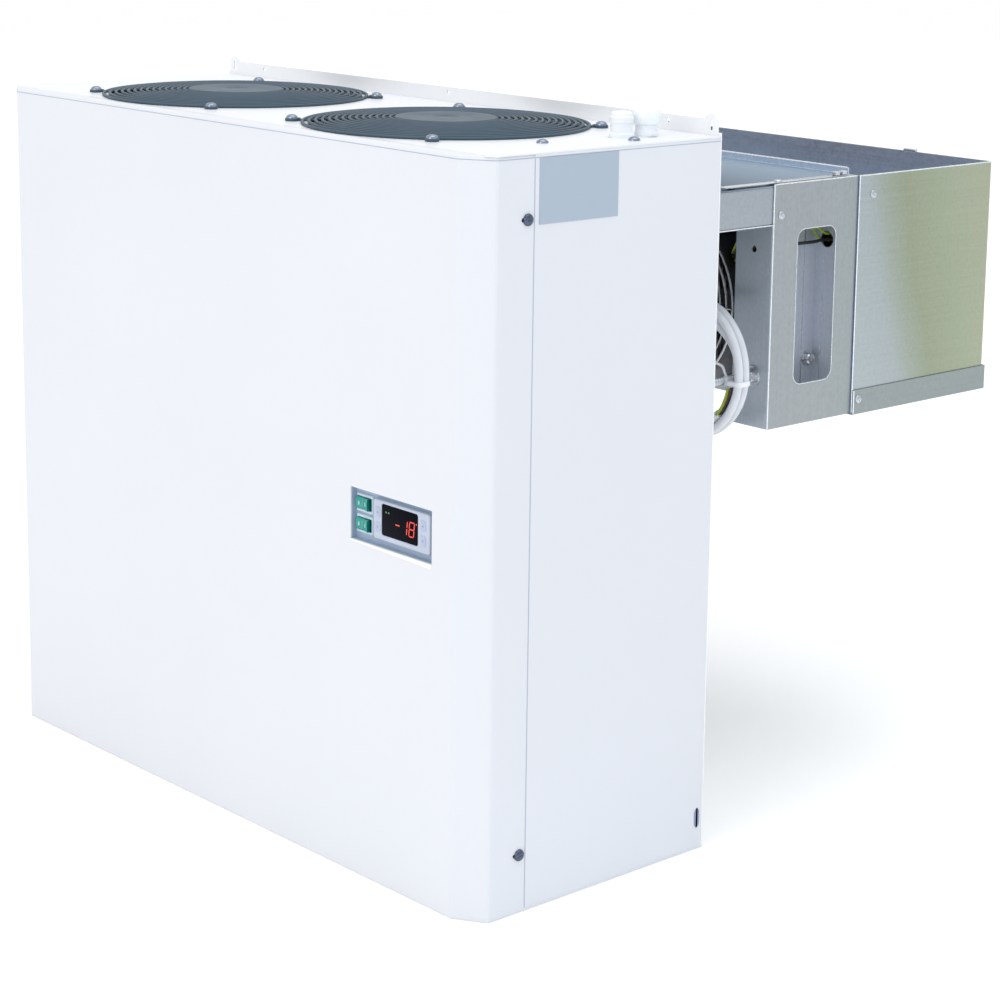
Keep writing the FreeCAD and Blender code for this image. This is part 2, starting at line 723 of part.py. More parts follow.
def compressor_grommets():
    """Four rubber feet between the compressor's foot plate and the base."""
    profile = [(grommet_r, 0), (grommet_r, 7), (grommet_r - 3, 9), (grommet_r - 3, grommet_h - 4),
               (grommet_r, grommet_h)]
    parts = []
    for c in foot_centres():
        foot = turned(profile, screw_sides)
        foot.translate(V(c.x, c.y, base_t))
        parts.append(foot)
    return Part.makeCompound(parts)


def terminal_cover():
    """Cover over the compressor's terminals, on the front of its shell."""
    z0 = base_t + grommet_h + foot_plate_t + comp_h * 0.5
    cover = plate_with_corners((comp_x - 28, comp_x + 28), (z0 + 8, z0 + 78), 8.0, 40.0,
                               facing_y(-comp_r + 22))
    shell = turned([(comp_r + 0.3, z0 - 40), (comp_r + 0.3, z0 + 120)], round_sides)
    shell.translate(V(comp_x, 0, 0))
    return cover.cut(shell)


def liquid_receiver():
    """Upright vessel with domed ends on a foot, and its two stubs."""
    r, h = receiver_r, receiver_h
    profile = [(r - 14, 0), (r - 4, 4), (r, 14), (r, h - 14), (r - 4, h - 4), (r - 14, h)]
    body = turned(profile, 2 * small_sides)
    foot = turned([(r - 6, -receiver_foot_t), (r - 6, 8), (r - 16, 8)], 2 * small_sides)
    stubs = [bar(stub_r, V(dx, 0, h - 10), Z, 10 + vessel_stub, pipe_sides) for dx in (-20, 20)]
    vessel = fuse([body, foot] + stubs)
    vessel.translate(V(receiver_x, receiver_y, base_t + receiver_foot_t))
    return vessel


def filter_drier():
    """Drier: a can that necks down to the pipe at both ends."""
    length, neck = drier_z[1] - drier_z[0], 14.0
    half = [(pipe_r + 1, 0), (pipe_r + 1, neck * 0.4), (drier_r, neck)]
    can = turned(half + [(r, length - z) for r, z in half[::-1]], small_sides)
    can.translate(V(receiver_x - 20, receiver_y, drier_z[0]))
    return can


def pipe_end_y():
    return y_hood + (evap_coil_y[0] + evap_coil_y[1]) / 2


def discharge_pipe():
    start = stub_points()[0]
    rise = (start.z + coil_z[0]) / 2
    side = 65 - half_w
    pts = [start, V(start.x, start.y, rise), V(side, 60, rise), V(side, 60, coil_z[0])]
    return tube(pts, [24.0, 24.0], pipe_r, pipe_sides)


def liquid_pipes():
    """From the condenser to the receiver, to the drier, and through the bridge to the evaporator."""
    top = vessel_top
    x, y = receiver_x - 20, receiver_y
    out = coil_x1 - 66
    over = [V(out, 60, coil_z[0]), V(out, 60, top + 90), V(x + 40, y, top + 90), V(x + 40, y, top)]
    turn_z = drier_z[1] + 0.33 * free_run
    on = [V(x, y, drier_z[1]), V(x, y, turn_z), V(liquid_x, pipe_y, turn_z), V(liquid_x, pipe_y, pipe_z),
          V(liquid_x, pipe_end_y(), pipe_z), V(liquid_x, pipe_end_y(), evap_coil_z1)]
    return Part.makeCompound([tube(over, [24.0, 24.0], pipe_r, pipe_sides),
                              tube([V(x, y, top), V(x, y, drier_z[0])], [], pipe_r, pipe_sides),
                              tube(on, [20.0, 20.0, 12.0, 12.0], pipe_r, pipe_sides)])


def suction_pipe():
    """Insulated return from the evaporator through the bridge to the compressor."""
    end = stub_points()[1]
    turn = end.z + 60
    pts = [V(suction_x, pipe_end_y(), evap_coil_z1), V(suction_x, pipe_end_y(), pipe_z),
           V(suction_x, pipe_y, pipe_z), V(suction_x, pipe_y, turn), V(end.x, end.y, turn), end]
    return tube(pts, [12.0, 16.0, 30.0, 30.0], suction_r, pipe_sides)


def electrical_box():
    """Flanged box with a lapped cover on the partition."""
    x0 = coil_x1 + sheet
    z0, z1 = ebox_z
    body = box((x0, x0 + ebox_w - 12), (-ebox_d / 2, ebox_d / 2), ebox_z)
    cover = box((x0 + ebox_w - 14, x0 + ebox_w), (-ebox_d / 2 - 2, ebox_d / 2 + 2), (z0 - 2, z1 + 2))
    edges = [e for e in cover.Edges if abs(e.tangentAt(e.FirstParameter).x) > 0.9]
    return fuse([body, cover.makeFillet(5.0, edges)])


# Controls

def control_bezel():
    """Shallow recessed tray behind the front cut-out, pierced for the controller and the switches."""
    depth = ctl_recess + bezel_plate
    y0 = -inner_y
    block = box((ctl_x[0] - bezel_rim, ctl_x[1] + bezel_rim), (y0, y0 + depth),
                (ctl_z[0] - bezel_rim, ctl_z[1] + bezel_rim))
    block = block.cut(box(ctl_x, (y0 - 1, recess_y), ctl_z))
    cx, cz = sum(facia_x) / 2, sum(facia_z) / 2
    block = block.cut(box((cx - module_w / 2, cx + module_w / 2), (y0, y0 + 20),
                          (cz - module_h / 2, cz + module_h / 2)))
    for z in switch_z:
        w, h = switch_w - 2 * switch_rim, switch_h - 2 * switch_rim
        block = block.cut(box((switch_x - w / 2 - 0.5, switch_x + w / 2 + 0.5), (y0, y0 + 20),
                              (z - h / 2 - 0.5, z + h / 2 + 0.5)))
    return block


def key_centres():
    """Four keys, two on each side of the display."""
    left = (facia_x[0] + glass_x[0]) / 2 + 0.6
    right = (facia_x[1] + glass_x[1]) / 2 - 0.2
    mid = sum(facia_z) / 2
    return [(x, mid + side * key_dz / 2) for x in (left, right) for side in (1, -1)]


def controller_housing():
    """Facia with a pocket for the display glass and one for each key, on the module behind it."""
    facia = plate_with_corners(facia_x, facia_z, facia_r, facia_t, facing_y(recess_y))
    front = [e for e in facia.Edges if abs(e.CenterOfMass.y - (recess_y - facia_t)) < 0.01]
    facia = facia.makeChamfer(0.8, front)
    cx, cz = sum(facia_x) / 2, sum(facia_z) / 2
    module = box((cx - module_w / 2, cx + module_w / 2), (recess_y, recess_y + module_l),
                 (cz - module_h / 2, cz + module_h / 2))
    body = fuse([facia, module])
    face = recess_y - facia_t
    body = body.cut(plate_with_corners(glass_x, glass_z, 2.0, glass_t + 1, facing_y(face + glass_t)))
    deep = key_t + key_travel + 0.3
    for x, z in key_centres():
        w, h = key_w / 2 + key_gap, key_h / 2 + key_gap
        body = body.cut(box((x - w, x + w), (face - 1, face + deep), (z - h, z + h)))
    return body


def controller_window():
    face = recess_y - facia_t
    gap = 0.1
    return plate_with_corners((glass_x[0] + gap, glass_x[1] - gap), (glass_z[0] + gap, glass_z[1] - gap),
                              2.0, glass_t - 0.2, facing_y(face + glass_t))


def controller_key(index):
    x, z = key_centres()[index]
    face = recess_y - facia_t
    key = box((x - key_w / 2, x + key_w / 2), (face - 0.5, face + key_t), (z - key_h / 2, z + key_h / 2))
    front = [e for e in key.Edges if abs(e.CenterOfMass.y - (face - 0.5)) < 0.01]
    return key.makeChamfer(0.4, front)


def switch_body(z):
    """Switch housing: flange on the bezel, hollow for the rocker, and the body behind."""
    flange = plate_with_corners((switch_x - switch_w / 2, switch_x + switch_w / 2),
                                (z - switch_h / 2, z + switch_h / 2), 1.0, switch_flange, facing_y(recess_y))
    w, h = switch_w / 2 - switch_rim, switch_h / 2 - switch_rim
    core = box((switch_x - w, switch_x + w), (recess_y, recess_y + switch_depth), (z - h, z + h))
    body = fuse([flange, core])
    w, h = w - 0.6, h - 0.6
    hollow = box((switch_x - w, switch_x + w), (recess_y - 5, recess_y + rocker_depth + 3), (z - h, z + h))
    return body.cut(hollow)


def switch_rocker(z):
    """Rocker with two facets that meet in a dip, at rest tipped to one side on its pivot."""
    w = switch_w / 2 - switch_rim - 0.6 - rocker_gap
    h = switch_h / 2 - switch_rim - 0.6 - rocker_gap
    face = -switch_flange
    pts = [V(-w, face - rocker_rise, 0), V(0, face - rocker_dip, 0), V(w, face - rocker_rise, 0),
           V(w, 0, 0), V(w * 0.5, rocker_depth - 1.5, 0), V(-w * 0.5, rocker_depth - 1.5, 0), V(-w, 0, 0)]
    rocker = Part.Face(Part.makePolygon(pts + pts[:1])).extrude(V(0, 0, 2 * h))
    rocker.rotate(V(0, 0, 0), Z, -rocker_tilt)
    rocker.translate(V(switch_x, recess_y, z - h))
    return rocker


# Trim on the cabinet

def cable_caps():
    """Two domed caps on the top, each with a stub through the panel."""
    profile = [(cap_stub_r, -cap_stub_l), (cap_stub_r, 0), (cap_base_r, 0), (cap_base_r, cap_base_h),
               (cap_r, cap_base_h), (cap_r, cap_h - 4), (cap_r - 4, cap_h)]
    parts = []
    for x, y in cap_at:
        cap = turned(profile, small_sides)
        cap.translate(V(x, y, cab_h))
        parts.append(cap)
    return Part.makeCompound(parts)


def rating_plate():
    return box((half_w, half_w + plate_t), plate_y, plate_z)


def screw(at, axis):
    """Low round-headed screw with its shank."""
    head = bar(screw_r, at, axis, screw_head_h, screw_sides)
    shank = bar(screw_shank_r - 0.2, at - axis * screw_shank_l, axis, screw_shank_l, 4)
    return head.fuse(shank)


def casing_screws():
    """Screws of the front panel's returns and of the two guards."""
    parts = []
    for side in (-1, 1):
        for z in panel_screw_z:
            parts.append(screw(V(side * half_w, seam_y - panel_screw_y, z), V(side, 0, 0)))
    for x in fan_x:
        for sx in (-1, 1):
            for sy in (-1, 1):
                parts.append(screw(V(x + sx * guard_pitch, sy * guard_pitch, cab_h + guard_wire), Z))
    return Part.makeCompound(parts)


# Bridge and evaporator

def bridge_trough():
    """Bent channel from the cabinet's back over the wall and through the fan bay."""
    path = [(-bridge_x, lid_z), (-bridge_x, bridge_z0), (bridge_x, bridge_z0), (bridge_x, lid_z)]
    trough = bent_sheet(path, 1.0, y_hood - half_d)
    trough.Placement = FreeCAD.Placement(V(0, y_hood, 0), FreeCAD.Rotation(X, 90))
    return trough


def bridge_lid():
    """Lid over the bridge and the fan bay, with a turned-up edge towards the hood."""
    y = (half_d + lid_inset_y, y_hood - lid_inset_y)
    plate = box((-bridge_x, bridge_x), y, (lid_z, lid_z + sheet))
    lip = box((-bridge_x + bracket_top_flange + 1, bridge_x - bracket_top_flange - 1),
              (y[1] - sheet, y[1]), (lid_z + sheet, lid_z + sheet + lid_lip))
    return fuse([plate, lip])


def bridge_foam():
    """Insulation that fills the trough round the pipes."""
    x = bridge_x - sheet - 0.3
    y0, y1 = half_d, y_hood - foam_end
    block = box((-x, x), (y0, y1), (bridge_z0 + sheet, lid_z))
    block = block.makeFillet(1.3, [e for e in block.Edges if abs(e.tangentAt(e.FirstParameter).y) > 0.9
                                   and e.CenterOfMass.z < bridge_z0 + sheet + 1])
    for px, r in ((suction_x, suction_r), (liquid_x, pipe_r)):
        block = block.cut(bar(r + pipe_clear, V(px, y0 - 1, pipe_z), Y, y1 - y0 + 2, pipe_sides))
    return block


def evap_bracket():
    """Right bracket: wall flange, windowed side and top flange, bent from one sheet."""
    path = [(evap_x - flange_w, y_flange), (evap_x, y_flange), (evap_x, y_hood)]
    bracket = bent_sheet(path, 1.0, evap_z1 - evap_z0)
    bracket.translate(V(0, 0, evap_z0))
    notch = box((evap_x - flange_w - 1, bridge_x), (y_flange - 1, y_flange + 6), (bridge_z0, evap_z1 + 1))
    bracket = bracket.cut(notch)
    top = box((evap_x - bracket_top_flange, evap_x - sheet), (y_flange + 8, y_hood - hood_lap - 2),
              (evap_z1 - sheet, evap_z1))
    bracket = fuse([bracket, top])
    window = plate_with_corners((y_flange + window_y[0], y_flange + window_y[1]), window_z, window_r,
                                10.0, facing_x(evap_x - 5))
    bracket = bracket.cut(window)
    bracket = bracket.cut(cyl(flange_hole_r, V(flange_hole_x, y_flange - 5, flange_hole_z), Y, 10))
    return bracket.cut(bar(rod_r + rod_hole_gap, V(rod_x, y_flange - 5, rod_z), Y, 10, small_sides))


def fan_shroud():
    """Plate with two fan openings, with side flanges turned towards the wall."""
    y = y_flange + shroud_y
    path = [(-shroud_x, y - shroud_flange), (-shroud_x, y), (shroud_x, y), (shroud_x, y - shroud_flange)]
    plate = bent_sheet(path[::-1], 1.0, bridge_z0 - evap_z0)
    plate.translate(V(0, 0, evap_z0))
    for side in (-1, 1):
        plate = plate.cut(bar(evap_fan_r + evap_tip_gap, V(side * evap_fan_x, y - 5, evap_fan_z), Y, 10,
                              round_sides))
    ear = box((shroud_x - 6, bridge_x), (y - sheet, y), (evap_z0, bridge_z0))
    plate = fuse([plate, ear, mirror_x(ear)])
    return plate.cut(bar(3 * lead_r + 3, V(lead_x, y - 5, lead_z), Y, 10, small_sides))


def shroud_face():
    """Side of the fan plate that looks at the wall."""
    return y_flange + shroud_y - sheet


def evap_fan_frame(x):
    """Round fan housing with flat mounting ears, four struts and the motor cup."""
    inner = evap_fan_r + evap_tip_gap
    y1 = shroud_face()
    y0 = y1 - frame_len
    at = V(x, y0, evap_fan_z)
    bore = bar(inner, at - Y, Y, frame_len + 2, round_sides)
    parts = [bar(inner + frame_wall, at, Y, frame_len, round_sides).cut(bore)]
    reach = inner + frame_wall + frame_ear
    for side in (-1, 1):
        span = sorted((side * (inner - 4), side * reach))
        ear = box((x + span[0], x + span[1]), (y1 - 4, y1), (evap_fan_z - 15, evap_fan_z + 15))
        parts.append(ear.cut(bore))
    cup = bar(evap_hub_r, at, Y, 14, 2 * small_sides)
    shaft = cyl(shaft_r, V(x, y0 + 13, evap_fan_z), Y, 24)
    parts += [cup, shaft]
    for i in range(4):
        strut = box((evap_hub_r - 3, inner + 1), (y0, y0 + 4), (-4, 4))
        strut.rotate(V(0, 0, 0), Y, 45 + 90 * i)
        strut.translate(V(x, 0, evap_fan_z))
        parts.append(strut)
    return fuse(parts)


def evap_fan_rotor(x):
    """Hub with five twisted blades, bored for the frame's shaft."""
    length = 26.0
    y0 = shroud_face() - frame_len + 15
    hub = bar(evap_hub_r, V(0, 0, -length / 2), Z, length, small_sides * 2)
    one = blade(evap_hub_r - 4, evap_fan_r - 5, (30.0, 50.0), (38.0, 23.0), 9.0)
    blades = [one.rotated(V(0, 0, 0), Z, 360.0 * i / fan_blades) for i in range(fan_blades)]
    rotor = fuse([hub] + blades)
    rotor = rotor.cut(cyl(shaft_r + run_gap, V(0, 0, -length / 2 - 1), Z, 24))
    rotor.rotate(V(0, 0, 0), X, -90)
    rotor.translate(V(x, y0 + length / 2, evap_fan_z))
    return rotor


def evap_guard(x):
    """Wire guard clipped on the wall side of a fan frame."""
    outer = evap_fan_r + evap_tip_gap + frame_wall - 1.5
    step = (outer - evap_hub_r) / evap_guard_rings
    rings = [ring(outer - step * i, 0.0, evap_guard_wire, evap_guard_sides) for i in range(evap_guard_rings)]
    arms = []
    for i in range(4):
        arm = box((evap_hub_r - 6, outer + 1), (-1, 1), (-1.6, evap_guard_wire * 0.5))
        arms.append(arm.rotate(V(0, 0, 0), Z, 90 * i))
    middle = bar(evap_hub_r - 5, V(0, 0, -1.6), Z, 1.6, small_sides)
    guard = fuse(rings + arms + [middle])
    guard.rotate(V(0, 0, 0), X, -90)
    guard.translate(V(x, shroud_face() - frame_len - evap_guard_wire, evap_fan_z))
    return guard


def hood():
    """Bent hood round the coil, open above and below, with the air outlet in its back."""
    path = [(hood_x, y_hood - hood_lap), (hood_x, y_end), (-hood_x, y_end), (-hood_x, y_hood - hood_lap)]
    shell = bent_sheet(path, hood_bend_r, evap_z1 - evap_z0)
    shell.translate(V(0, 0, evap_z0))
    outlet = plate_with_corners((-outlet_x, outlet_x), outlet_z, 6.0, 10.0, facing_y(y_end + 4))
    return shell.cut(outlet)


def hood_cover():
    """Recessed cover over the coil, with its edges turned up inside the hood."""
    x = hood_x - sheet
    path = [(-x, hood_plate_z + hood_plate_flange), (-x, hood_plate_z), (x, hood_plate_z),
            (x, hood_plate_z + hood_plate_flange)]
    length = y_end - sheet - hood_bend_r - y_hood - 1
    cover = bent_sheet(path, 1.0, length)
    cover.Placement = FreeCAD.Placement(V(0, y_hood + 1 + length, 0), FreeCAD.Rotation(X, 90))
    for x, r in ((suction_x, suction_r), (liquid_x, pipe_r)):
        cover = cover.cut(bar(r + pipe_clear + 0.3, V(x, pipe_end_y(), hood_plate_z - 1), Z, 10, small_sides))
    return cover


def fan_leads():
    """Three leads of the right fan, round the fan plate's flange and back beside the coil."""
    y = shroud_face() - frame_len
    outer = evap_fan_r + evap_tip_gap + frame_wall + 0.8
    parts = []
    for i in (-1, 0, 1):
        z = lead_z + i * (2 * lead_r + 0.4)
        start = evap_fan_x + math.sqrt(outer ** 2 - (z - 24 - evap_fan_z) ** 2)
        pts = [V(start, y + 12, z - 24), V(start + 32, y - 16, z - 8),
               V(lead_x, y - 16, z), V(lead_x, shroud_face() + 14, z)]
        parts.append(tube(pts, [10.0, 10.0], lead_r, 6))
    return Part.makeCompound(parts)


def drip_tray():
    """Tray under the coil, its lip outside the hood, with the drain spigot."""
    low = evap_z0 - sheet
    y = (y_hood - hood_lap, y_end + sheet)
    floor = box((-tray_x, tray_x), y, (low, evap_z0))
    side = box((hood_x, tray_x), y, (low, low + tray_lip))
    back = box((-tray_x, tray_x), (y_end, y_end + sheet), (low, low + tray_lip))
    front = box((-hood_x + sheet + 1, hood_x - sheet - 1), (y_hood + 1, y_hood + 1 + sheet),
                (evap_z0, evap_z0 + tray_lip / 2))
    spigot = cyl(drain_r, V(drain_x, pipe_end_y(), low - drain_l), Z, drain_l)
    tray = fuse([floor, side, mirror_x(side), back, front, spigot])
    return tray.cut(cyl(drain_r - drain_wall, V(drain_x, pipe_end_y(), low - drain_l - 1), Z, drain_l + 6))


def clamp_rods():
    """Two threaded rods through the wall, with a washer and nut on each side of both sheets."""
    y0, y1 = half_d - rod_end, y_flange + sheet + rod_end
    rods, nuts = [], []
    for side in (-1, 1):
        x = side * rod_x
        rods.append(bar(rod_r, V(x, y0, rod_z), Y, y1 - y0, screw_sides))
        for face in (half_d - sheet, y_flange):
            for outer in (False, True):
                wash_y = face + sheet if outer else face - washer_t
                nut_y = wash_y + washer_t if outer else wash_y - nut_t
                washer = bar(washer_r, V(x, wash_y, rod_z), Y, washer_t, small_sides)
                nut = bar(nut_af / math.sqrt(3), V(x, nut_y, rod_z), Y, nut_t, 6)
                hole = bar(rod_r, V(x, nut_y - 20, rod_z), Y, 60, screw_sides)
                nuts.append(fuse([washer, nut]).cut(hole))
    return Part.makeCompound(rods + nuts)


# Supply cord

def gland_x():
    return ring_x - ring_out_r + cord_d / 2


def cord_points():
    """Cord from its gland, over and down to the side of its coil, in four even turns of heading."""
    run = 22.0
    x, y, z = gland_x(), half_d + gland_l, gland_z
    pts = [V(x, y, z)]
    for heading in (0, 30, 60):
        a = math.radians(heading)
        last = pts[-1]
        pts.append(V(x, last.y + run * math.cos(a), last.z - run * math.sin(a)))
    pts.append(V(x, pts[-1].y, ring_z + 40))
    return pts


def supply_cord():
    pts = cord_points()
    radii = []
    for i in range(1, len(pts) - 1):
        a, b = pts[i - 1] - pts[i], pts[i + 1] - pts[i]
        half = (math.pi - a.getAngle(b)) / 2
        radii.append(0.45 * min(a.Length, b.Length) / math.tan(half))
    print("cord radii", [round(r, 1) for r in radii])
    cord = tube(pts, radii, cord_d / 2, small_sides)
    length = Part.Wire(rounded_path(pts, radii)).Length
    print("cord volume over section times length",
          round(cord.Volume / (section(cord_d / 2, V(), X, small_sides).Area * length), 4))
    return cord


def cord_ring():
    """Outer shape of the coiled cord, with the stub that the cord comes in by."""
    depth = 2 * cord_d
    y = cord_points()[-1].y - cord_d / 2
    disc = bar(ring_out_r, V(ring_x, y, ring_z), Y, depth, duct_sides)
    disc = disc.cut(bar(ring_out_r - 2 * cord_d, V(ring_x, y - 1, ring_z), Y, depth + 2, duct_sides))
    stub = bar(cord_d / 2, V(gland_x(), y + cord_d / 2, ring_z), Z, 40, small_sides)
    return fuse([disc, stub])


def cord_gland():
    """Hexagonal gland body with its domed nut, and the stub through the back."""
    body = bar(gland_r, V(0, 0, 0), Z, gland_l * 0.45, 6)
    dome = turned([(gland_r - 1, 0.3 * gland_l), (gland_r - 1, gland_l * 0.7), (cord_d / 2 + 1.5, gland_l)],
                  small_sides)
    stub = bar(cord_d / 2 + 1.6, V(0, 0, -10), Z, 11, small_sides)
    gland = fuse([body, dome, stub])
    gland.rotate(V(0, 0, 0), X, -90)
    gland.translate(V(gland_x(), half_d, gland_z))
    return gland


def cord_tie():
    """Band round the coil's strands at the rod's height, with its head hooked over the rod."""
    y0 = cord_points()[-1].y - cord_d / 2
    y = (y0 - 0.3, y0 + 2 * cord_d + 0.3)
    inside = math.sqrt((ring_out_r - 2 * cord_d) ** 2 - (ring_z - rod_z + tie_w / 2) ** 2)
    x = (ring_x + inside - 0.6, ring_x + ring_out_r + 0.3)
    z = (rod_z - tie_w / 2, rod_z + tie_w / 2)
    outer = box((x[0] - tie_t, x[1] + tie_t), (y[0] - tie_t, y[1] + tie_t), z)
    band = outer.cut(box(x, y, (z[0] - 1, z[1] + 1)))
    head = box((rod_x - 6, x[0] - tie_t), (ring_y - 5, ring_y + 5), (rod_z + rod_r + 0.3, rod_z + rod_r + 8))
    arm = box((x[0] - tie_t, x[0]), (ring_y - 5, ring_y + 5), (z[1], rod_z + rod_r + 8))
    return fuse([band, head, arm])


def cord_cores():
    """Three bare cores at the cord's free end, out of the tie along the inside of the coil."""
    parts = []
    r = ring_out_r - 2 * cord_d - 3 * core_r
    for i in range(3):
        y = ring_y + (i - 1) * (2 * core_r + 0.5)
        start, end = (V(ring_x + r * math.cos(a), y, ring_z + r * math.sin(a))
                      for a in (math.radians(-14), math.radians(-36 - 4 * i)))
        parts.append(bar(core_r, start, (end - start).normalize(), (end - start).Length, 6))
    return Part.makeCompound(parts)


def all_nodes():
    nodes = {
        "base_tray": base_tray(),
        "front_panel": front_panel(),
        "side_panel_right": side_panel(),
        "side_panel_left": mirror_x(side_panel()),
        "rear_panel": rear_panel(),
        "top_panel": top_panel(),
        "partition_panel": partition_panel(),
        "condenser_coil": condenser_coil(),
        "compressor": compressor(),
        "compressor_grommets": compressor_grommets(),
        "terminal_cover": terminal_cover(),
        "liquid_receiver": liquid_receiver(),
        "filter_drier": filter_drier(),
        "discharge_pipe": discharge_pipe(),
        "liquid_pipes": liquid_pipes(),
        "suction_pipe": suction_pipe(),
        "electrical_box": electrical_box(),
        "control_bezel": control_bezel(),
        "controller_housing": controller_housing(),
        "controller_window": controller_window(),
        "cable_caps": cable_caps(),
        "rating_plate": rating_plate(),
        "casing_screws": casing_screws(),
        "bridge_trough": bridge_trough(),
        "bridge_lid": bridge_lid(),
        "bridge_foam": bridge_foam(),
        "evap_bracket_right": evap_bracket(),
        "evap_bracket_left": mirror_x(evap_bracket()),
        "fan_shroud": fan_shroud(),
        "evaporator_coil": evaporator_coil(),
        "hood": hood(),
        "hood_cover": hood_cover(),
        "drip_tray": drip_tray(),
        "fan_leads": fan_leads(),
        "clamp_rods": clamp_rods(),
        "supply_cord": supply_cord(),
        "cord_ring": cord_ring(),
        "cord_gland": cord_gland(),
        "cord_tie": cord_tie(),
        "cord_cores": cord_cores(),
    }
    for i, x in enumerate(fan_x, start=1):
        nodes[f"condenser_guard_{i}"] = condenser_guard(x)
        nodes[f"condenser_motor_{i}"] = condenser_motor(x)
        nodes[f"condenser_fan_{i}"] = condenser_fan(x)
    for i, x in enumerate((-evap_fan_x, evap_fan_x), start=1):
        nodes[f"evap_fan_frame_{i}"] = evap_fan_frame(x)
        nodes[f"evap_fan_rotor_{i}"] = evap_fan_rotor(x)
        nodes[f"evap_guard_{i}"] = evap_guard(x)
    for i in range(4):
        nodes[f"controller_key_{i + 1}"] = controller_key(i)
    for i, z in enumerate(switch_z, start=1):
        nodes[f"switch_body_{i}"] = switch_body(z)
        nodes[f"switch_rocker_{i}"] = switch_rocker(z)
    return nodes


os.makedirs("parts", exist_ok=True)
for name, shape in all_nodes().items():
    shape.exportStep(f"parts/{name}.step")
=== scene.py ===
"""Looks of a straddle refrigeration unit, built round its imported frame.

A white condensing cabinet stands in front, a galvanised evaporator hangs behind it, and a bridge
joins them over the place of the wall. Each class below is one sub-assembly: its fields are sizes in
millimetres, in the part's own frame (+X right, +Y back, +Z up), and its methods make and dress its
meshes.
"""

from __future__ import annotations

import json
import logging
import math
from dataclasses import dataclass
from enum import Enum
from typing import Iterable, Sequence

import bmesh
import bpy
import numpy as np
from mathutils import Matrix, Vector

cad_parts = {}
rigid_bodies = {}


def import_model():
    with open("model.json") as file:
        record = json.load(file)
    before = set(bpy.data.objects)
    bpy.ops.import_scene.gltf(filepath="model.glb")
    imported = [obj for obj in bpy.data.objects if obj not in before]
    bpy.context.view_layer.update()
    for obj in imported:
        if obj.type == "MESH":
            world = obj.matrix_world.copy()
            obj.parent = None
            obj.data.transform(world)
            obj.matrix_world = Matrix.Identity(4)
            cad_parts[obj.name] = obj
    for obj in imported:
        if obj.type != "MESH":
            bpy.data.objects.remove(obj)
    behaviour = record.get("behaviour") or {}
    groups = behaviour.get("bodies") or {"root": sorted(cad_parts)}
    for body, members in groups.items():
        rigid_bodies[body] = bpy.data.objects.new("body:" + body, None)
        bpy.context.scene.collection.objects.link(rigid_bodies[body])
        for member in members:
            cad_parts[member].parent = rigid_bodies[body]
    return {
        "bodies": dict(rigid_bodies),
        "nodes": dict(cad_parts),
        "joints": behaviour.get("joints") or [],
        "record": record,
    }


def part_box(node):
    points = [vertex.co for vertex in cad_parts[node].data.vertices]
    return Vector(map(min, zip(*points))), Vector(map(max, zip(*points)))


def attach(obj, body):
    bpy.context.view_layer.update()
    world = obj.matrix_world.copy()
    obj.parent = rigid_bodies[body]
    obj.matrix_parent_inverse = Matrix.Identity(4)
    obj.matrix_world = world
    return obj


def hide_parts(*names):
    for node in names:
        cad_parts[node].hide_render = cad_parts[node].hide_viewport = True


LOG = logging.getLogger("unit")
MM = 0.001
CASING = "casing"
SMOOTH_ANGLE = math.radians(32)
PREFIX = "finish_"
WELD = 1e-6

Colour = tuple[float, float, float]
Point = Sequence[float]
Tones = tuple[tuple[float, Colour], ...]


class Grain(Enum):
    """Rolling direction of a bare sheet, as the scale of its streaks along X, Y and Z."""

    LEVEL = (7.0, 7.0, 520.0)
    UPRIGHT = (520.0, 520.0, 7.0)
    ACROSS = (9.0, 520.0, 520.0)


# Finishes


